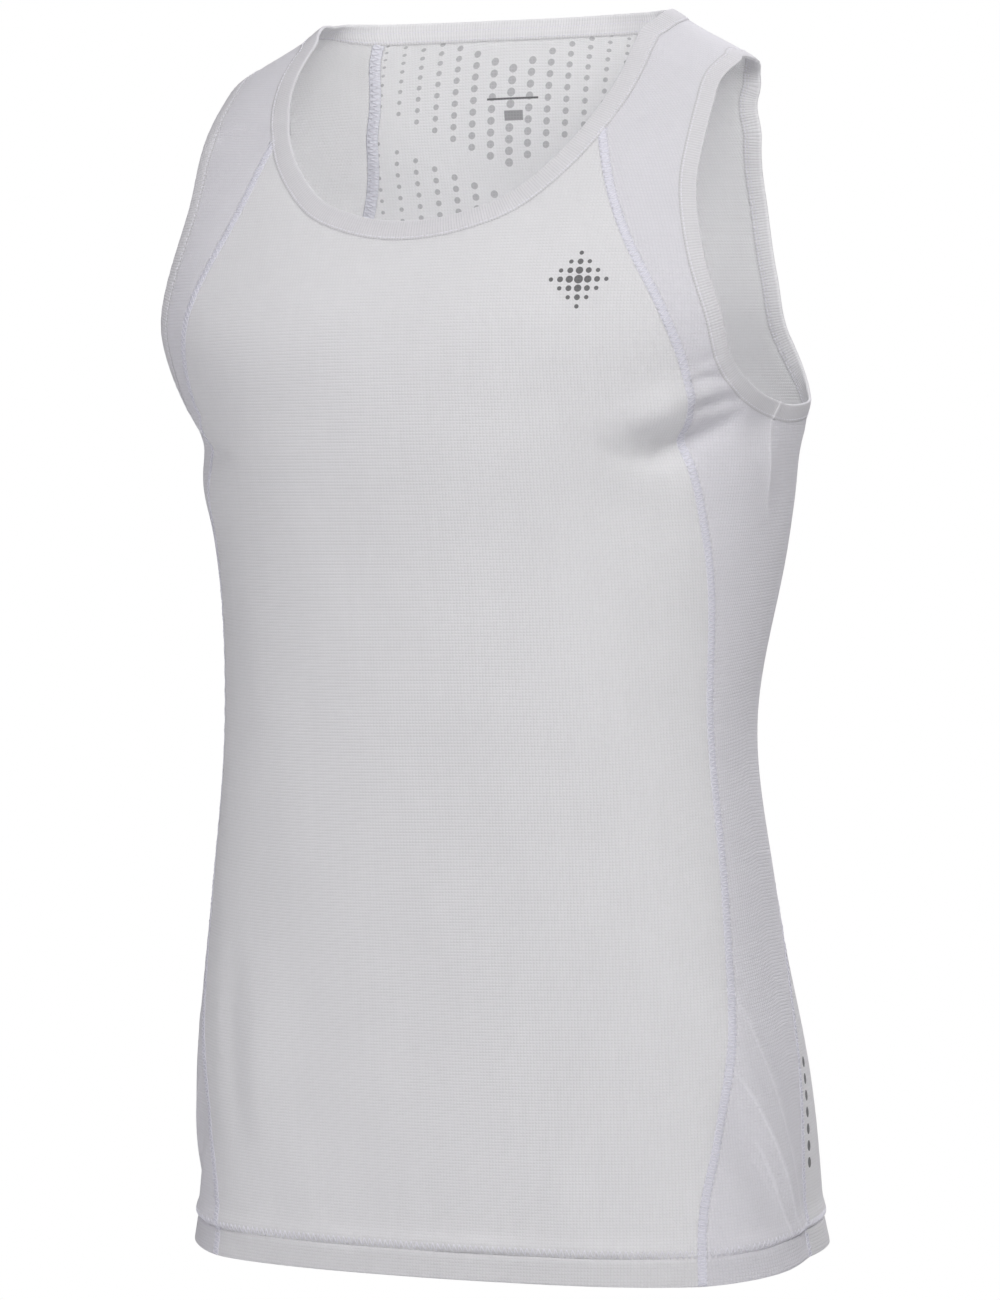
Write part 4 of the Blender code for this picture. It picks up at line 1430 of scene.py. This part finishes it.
class Sewing:
    """Threads and ribbons along one line of the pattern, collected into one object.

    face is 1 for the outside of the cloth and -1 for the inside. Heights are above that face.
    """

    def __init__(self, line, hand=1, ends=0.0):
        self.line = line
        self.hand = hand
        self.start = ends
        self.end = form_length(line)[-1] - ends
        self.points = []
        self.faces = []
        self.uv = []
        self.finish = []

    def add(self, points, faces, uv, finish=0):
        first = sum(len(made) for made in self.points)
        corners = points[faces]
        middle = points.mean(axis=0)
        volume = dot(corners[:, 0] - middle, face_normals(points, faces)).sum()
        self.points.append(points)
        self.faces.append((faces if volume > 0 else faces[:, ::-1]) + first)
        self.uv.append(uv)
        self.finish.append(np.full(len(faces), finish))

    def on_cloth(self, run, across, height, face, surface=None):
        """Points on a face of the cloth, or `surface` off its middle, with the form's normals there."""
        run, across, height = (part.reshape(-1) for part in np.broadcast_arrays(run, across, height))
        places = stations(self.line, run, across)
        places[:, 0] *= self.hand
        surface = half_wall(places) if surface is None else surface
        return cloth_points(places, face * (surface + height)), form_normal(places)

    def threads(self, run, across, height, face, surface=None):
        """Threads through rows of stations: run, across and height are (threads, points)."""
        shape = np.broadcast_shapes(np.shape(run), np.shape(across), np.shape(height))
        points, normals = self.on_cloth(run, across, height, face, surface)
        made, faces = tubes(points.reshape(*shape, 3), normals.reshape(*shape, 3), sizes().thread / 2)
        self.add(made, faces, np.zeros((len(made), 2)))

    def zigzag(self, low, high, height, face=1, surface=None):
        """Rungs that slant over and back between two distances from the line, each arched off the cloth."""
        rungs = 2 * int(round((self.end - self.start) / sizes().stitch_pitch))
        run = np.linspace(self.start, self.end, rungs + 1)
        share = np.linspace(0, 1, 4)
        slant = run[:-1, None] * (1 - share) + run[1:, None] * share
        back = (np.arange(rungs) % 2)[:, None]
        over = np.where(back, 1 - share, share)
        arch = 0.4 * sizes().thread * np.sin(pi * share)
        self.threads(slant, low + (high - low) * over, height + arch, face, surface)

    def row(self, across, height, pitch, face=1, surface=None):
        """A row of stitches: short threads whose ends dip into the cloth."""
        stitches = int(round((self.end - self.start) / pitch))
        run = np.linspace(self.start, self.end, stitches + 1)
        share = np.linspace(0, 1, 5)
        along = run[:-1, None] + (run[1] - run[0]) * (STITCH_GAP + (1 - 2 * STITCH_GAP) * share)
        dip = sizes().thread * (1 - np.sin(pi * share) ** 0.4)
        self.threads(along, across, height - dip, face, surface)

    def ribbon(self, width, height, face=1):
        """A flat ribbon: a closed profile with a crowned top and sloping sides, carried along the line."""
        count = int(round((self.end - self.start) / RIBBON_FACE))
        run = np.linspace(self.start, self.end, count + 1)
        across = width / 2 * np.array([-1.0, -0.8, 0.0, 0.8, 1.0, 0.97, 0.6, 0.0, -0.6, -0.97])
        top = np.array([0.25, 0.9, 1.0, 0.9, 0.25, 0.0, 0.0, 0.0, 0.0, 0.0])
        off_cloth = RIBBON_CLEAR + (height - RIBBON_CLEAR) * top
        points, _ = self.on_cloth(run[:, None], across, off_cloth, face)
        ring = len(across)
        corner = np.arange(len(points)).reshape(-1, ring)
        low = np.arange(ring // 2 - 1)
        cap = np.stack([low, low + 1, ring - 2 - low, ring - 1 - low], axis=-1)
        walls = ring_walls(corner[:-1], corner[1:])
        faces = np.concatenate([walls, corner[0][cap[:, ::-1]], corner[-1][cap]])
        uv = np.stack(np.broadcast_arrays(run[:, None], across), axis=-1).reshape(-1, 2)
        self.add(points, faces, uv, finish=1)

    def piece(self, name, slot, ground=None):
        """All of it as one object: the threads, and the ground that they are sewn on."""
        parts = (self.points, self.faces, self.uv, self.finish)
        points, faces, uv, finish = (np.concatenate(part) for part in parts)
        finishes = ("sewing_thread", ground) if ground else ("sewing_thread",)
        settle(build_mesh(name, points, faces, uv[faces], finish, finishes), slot)


def hem_line():
    angles = np.linspace(0, 360, 721)
    return np.stack([angles, HEM_HEIGHT + hem_rise(angles) + HEM_FOLD], axis=-1)


# ------------------------------------------------------------------------------ operators


class SINGLET_OT_princess_seams(bpy.types.Operator):
    """Sew the four flat seams between the panels, with a stitched cover outside and a tape inside"""

    bl_idname = "singlet.princess_seams"
    bl_label = "Princess seams"

    def execute(self, context):
        size = sizes()
        for word, line in (("front", pattern().front_seam), ("back", pattern().back_seam)):
            for hand_word, hand in HANDS:
                cover = Sewing(line, hand, ends=0.0004)
                cover.ribbon(size.seam_width, RIBBON_HEIGHT)
                half = size.seam_width / 2
                cover.zigzag(-half, half, RIBBON_THREAD)
                for edge in (-half, half):
                    cover.row(edge, RIBBON_THREAD, size.stitch_pitch)
                cover.piece(f"{word}_seam_{hand_word}", "body_cloth", "seam_ground")
                tape = Sewing(line, hand, ends=0.0006)
                tape.ribbon(size.tape_width, TAPE_HEIGHT, face=-1)
                half = size.tape_width / 2 - TAPE_MARGIN
                tape.zigzag(-half, half, TAPE_THREAD, face=-1)
                tape.piece(f"{word}_seam_tape_{hand_word}", "body_cloth", "tape_weave")
        return {"FINISHED"}


class SINGLET_OT_hem_stitching(bpy.types.Operator):
    """Sew the turned-up hem all round"""

    bl_idname = "singlet.hem_stitching"
    bl_label = "Hem stitching"

    def execute(self, context):
        hem = Sewing(hem_line())
        for face in (1, -1):
            hem.zigzag(*HEM_STITCHES, 0.0, face, surface=sizes().wall / 2)
        hem.piece("hem_stitching", "body_cloth")
        return {"FINISHED"}


class SINGLET_OT_neck_binding(bpy.types.Operator):
    """Fold and sew the binding round the neck"""

    bl_idname = "singlet.neck_binding"
    bl_label = "Neck binding"

    def execute(self, context):
        bind("neck_{}", pattern().neck_edges, NECK_BINDING)
        return {"FINISHED"}


class SINGLET_OT_armhole_bindings(bpy.types.Operator):
    """Fold and sew the bindings round the armholes"""

    bl_idname = "singlet.armhole_bindings"
    bl_label = "Armhole bindings"

    def execute(self, context):
        for word, hand in HANDS:
            bind("armhole_{}_" + word, pattern().arm_edges, ARM_BINDING, hand)
        return {"FINISHED"}


class SINGLET_OT_front_panel(bpy.types.Operator):
    """Cut and hang the front panel, with its chest print"""

    bl_idname = "singlet.front_panel"
    bl_label = "Front panel"

    def execute(self, context):
        grids = [pattern().front_grid()]
        cut_panel("front_panel", "front", "body_cloth", grids, 0)
        return {"FINISHED"}


class SINGLET_OT_back_panel(bpy.types.Operator):
    """Cut and hang the back panel, with its bands of dots"""

    bl_idname = "singlet.back_panel"
    bl_label = "Back panel"

    def execute(self, context):
        grids = [pattern().back_grid()]
        cut_panel("back_panel", "back", "body_cloth", grids, 180)
        return {"FINISHED"}


class SINGLET_OT_side_panels(bpy.types.Operator):
    """Cut and hang the two side panels, each with its two straps"""

    bl_idname = "singlet.side_panels"
    bl_label = "Side panels"

    def execute(self, context):
        for word, hand in HANDS:
            grids = pattern(SIDE_FACES).side_grids()
            cut_panel("side_panel_" + word, "side", "side_cloth", grids, 90, hand)
        return {"FINISHED"}


# Camera: turn round the singlet, distance, height, aim, roll and lens
VIEW_TURN = 23.98
VIEW_DISTANCE = 3.656
VIEW_HEIGHT = -0.1278
VIEW_AIM_RIGHT = 0.003
VIEW_AIM_HEIGHT = -0.3589
VIEW_ROLL = -1.80
VIEW_LENS = 173.25
VIEW_SENSOR = 36.0

# Soft lights: turn and rise seen from the singlet, distance, size, power and colour
WHITE = (1.0, 0.995, 0.99)
COOL = (0.965, 0.955, 1.0)
SoftLight = namedtuple("SoftLight", "name turn rise distance size power colour")
LIGHTS = [SoftLight(*row) for row in (
    ("key", 45, 35, 3.4, 2.4, 67, WHITE),
    ("front", 0, 20, 3.4, 2.4, 25, WHITE),
    ("left", -35, 35, 3.4, 2.4, 14, COOL),
    ("edge", -75, 15, 3.4, 2.4, 16, COOL),
    ("back", 180, 35, 3.4, 2.4, 55, COOL),
    ("high", 150, 50, 3.4, 2.4, 30, COOL),
)]
FLOOR_HEIGHT = -1.45
FLOOR_RADIUS = 3.4


def round_about(turn, rise, distance):
    """A place seen from the origin at a turn from the front and a rise above level."""
    turn, rise = radians(turn), radians(rise)
    level = distance * np.cos(rise)
    return Vector((level * np.sin(turn), -level * np.cos(turn), distance * np.sin(rise)))


def facing(place, away):
    """The matrix of a lamp or camera at a place, with its back turned to `away`."""
    return Matrix.Translation(place) @ away.to_track_quat("Z", "Y").to_matrix().to_4x4()


class SINGLET_OT_stage(bpy.types.Operator):
    """Make the floor, the soft lights and the camera"""

    bl_idname = "singlet.stage"
    bl_label = "Stage"

    def execute(self, context):
        self.floor()
        self.lights(context.scene)
        self.camera(context.scene)
        return {"FINISHED"}

    def floor(self):
        """A disc: a square grid drawn round, each side by sqrt(1 - half the other's square)."""
        steps = np.linspace(-1, 1, 41)
        x, y = np.meshgrid(steps, steps)
        disc_x = FLOOR_RADIUS * x * np.sqrt(1 - y**2 / 2)
        disc_y = FLOOR_RADIUS * y * np.sqrt(1 - x**2 / 2)
        points = np.stack([disc_x, disc_y, np.full_like(x, FLOOR_HEIGHT)], axis=-1).reshape(-1, 3)
        faces = grid_faces(*x.shape)
        uv = points[faces][..., :2]
        build_mesh("floor", points, faces, uv, np.zeros(len(faces)), ["pale_floor"])

    def lights(self, scene):
        world = bpy.data.worlds.new("studio")
        world.use_nodes = True
        tree = world.node_tree
        background = tree.nodes["Background"]
        background.inputs["Color"].default_value = (1.0, 1.0, 1.0, 1.0)
        path = tree.nodes.new("ShaderNodeLightPath")
        strength = tree.nodes.new("ShaderNodeMix")
        strength.inputs["A"].default_value = 0.02
        strength.inputs["B"].default_value = 1.0
        tree.links.new(path.outputs["Is Camera Ray"], strength.inputs["Factor"])
        tree.links.new(strength.outputs["Result"], background.inputs["Strength"])
        scene.world = world
        scene.view_settings.view_transform = "Standard"
        middle = Vector((0.0, 0.0, VIEW_AIM_HEIGHT))
        for row in LIGHTS:
            lamp = bpy.data.lights.new(row.name, "AREA")
            lamp.shape = "DISK"
            lamp.size = row.size
            lamp.energy = row.power
            lamp.color = row.colour
            light = bpy.data.objects.new(row.name, lamp)
            offset = round_about(row.turn, row.rise, row.distance)
            light.matrix_world = facing(middle + offset, offset)
            scene.collection.objects.link(light)

    def camera(self, scene):
        place = round_about(VIEW_TURN, 0, VIEW_DISTANCE)
        place.z = VIEW_HEIGHT
        turn = radians(VIEW_TURN)
        aim = Vector((VIEW_AIM_RIGHT * np.cos(turn), VIEW_AIM_RIGHT * np.sin(turn), VIEW_AIM_HEIGHT))
        lens = bpy.data.cameras.new("camera")
        lens.lens = VIEW_LENS
        lens.sensor_fit = "VERTICAL"
        lens.sensor_height = VIEW_SENSOR
        lens.clip_start = 0.1
        lens.clip_end = 100.0
        camera = bpy.data.objects.new("camera", lens)
        camera.matrix_world = facing(place, place - aim) @ Matrix.Rotation(radians(VIEW_ROLL), 4, "Z")
        scene.collection.objects.link(camera)
        scene.camera = camera


OPERATORS = (
    SINGLET_OT_princess_seams,
    SINGLET_OT_hem_stitching,
    SINGLET_OT_neck_binding,
    SINGLET_OT_armhole_bindings,
    SINGLET_OT_front_panel,
    SINGLET_OT_back_panel,
    SINGLET_OT_side_panels,
    SINGLET_OT_stage,
)


class SINGLET_PT_pieces(bpy.types.Panel):
    """Sizes, colours and pieces of the singlet"""

    bl_idname = "SINGLET_PT_pieces"
    bl_label = "Singlet"
    bl_space_type = "VIEW_3D"
    bl_region_type = "UI"
    bl_category = "Singlet"

    def draw(self, context):
        for settings in (context.scene.singlet_sizes, context.scene.singlet_colours):
            column = self.layout.column(align=True)
            for name in settings.__annotations__:
                column.prop(settings, name)
        column = self.layout.column(align=True)
        for operator in OPERATORS:
            column.operator(operator.bl_idname)


CLASSES = (SingletSizes, SingletColours, *OPERATORS, SINGLET_PT_pieces)


def register():
    for made in CLASSES:
        bpy.utils.register_class(made)
    bpy.types.Scene.singlet_sizes = PointerProperty(type=SingletSizes)
    bpy.types.Scene.singlet_colours = PointerProperty(type=SingletColours)


def unregister():
    del bpy.types.Scene.singlet_colours
    del bpy.types.Scene.singlet_sizes
    for made in reversed(CLASSES):
        bpy.utils.unregister_class(made)


def main():
    register()
    bpy.ops.singlet.princess_seams()
    bpy.ops.singlet.hem_stitching()
    bpy.ops.singlet.neck_binding()
    bpy.ops.singlet.armhole_bindings()
    bpy.ops.singlet.front_panel()
    bpy.ops.singlet.back_panel()
    bpy.ops.singlet.side_panels()
    bpy.ops.singlet.stage()


if __name__ == "__main__":
    main()
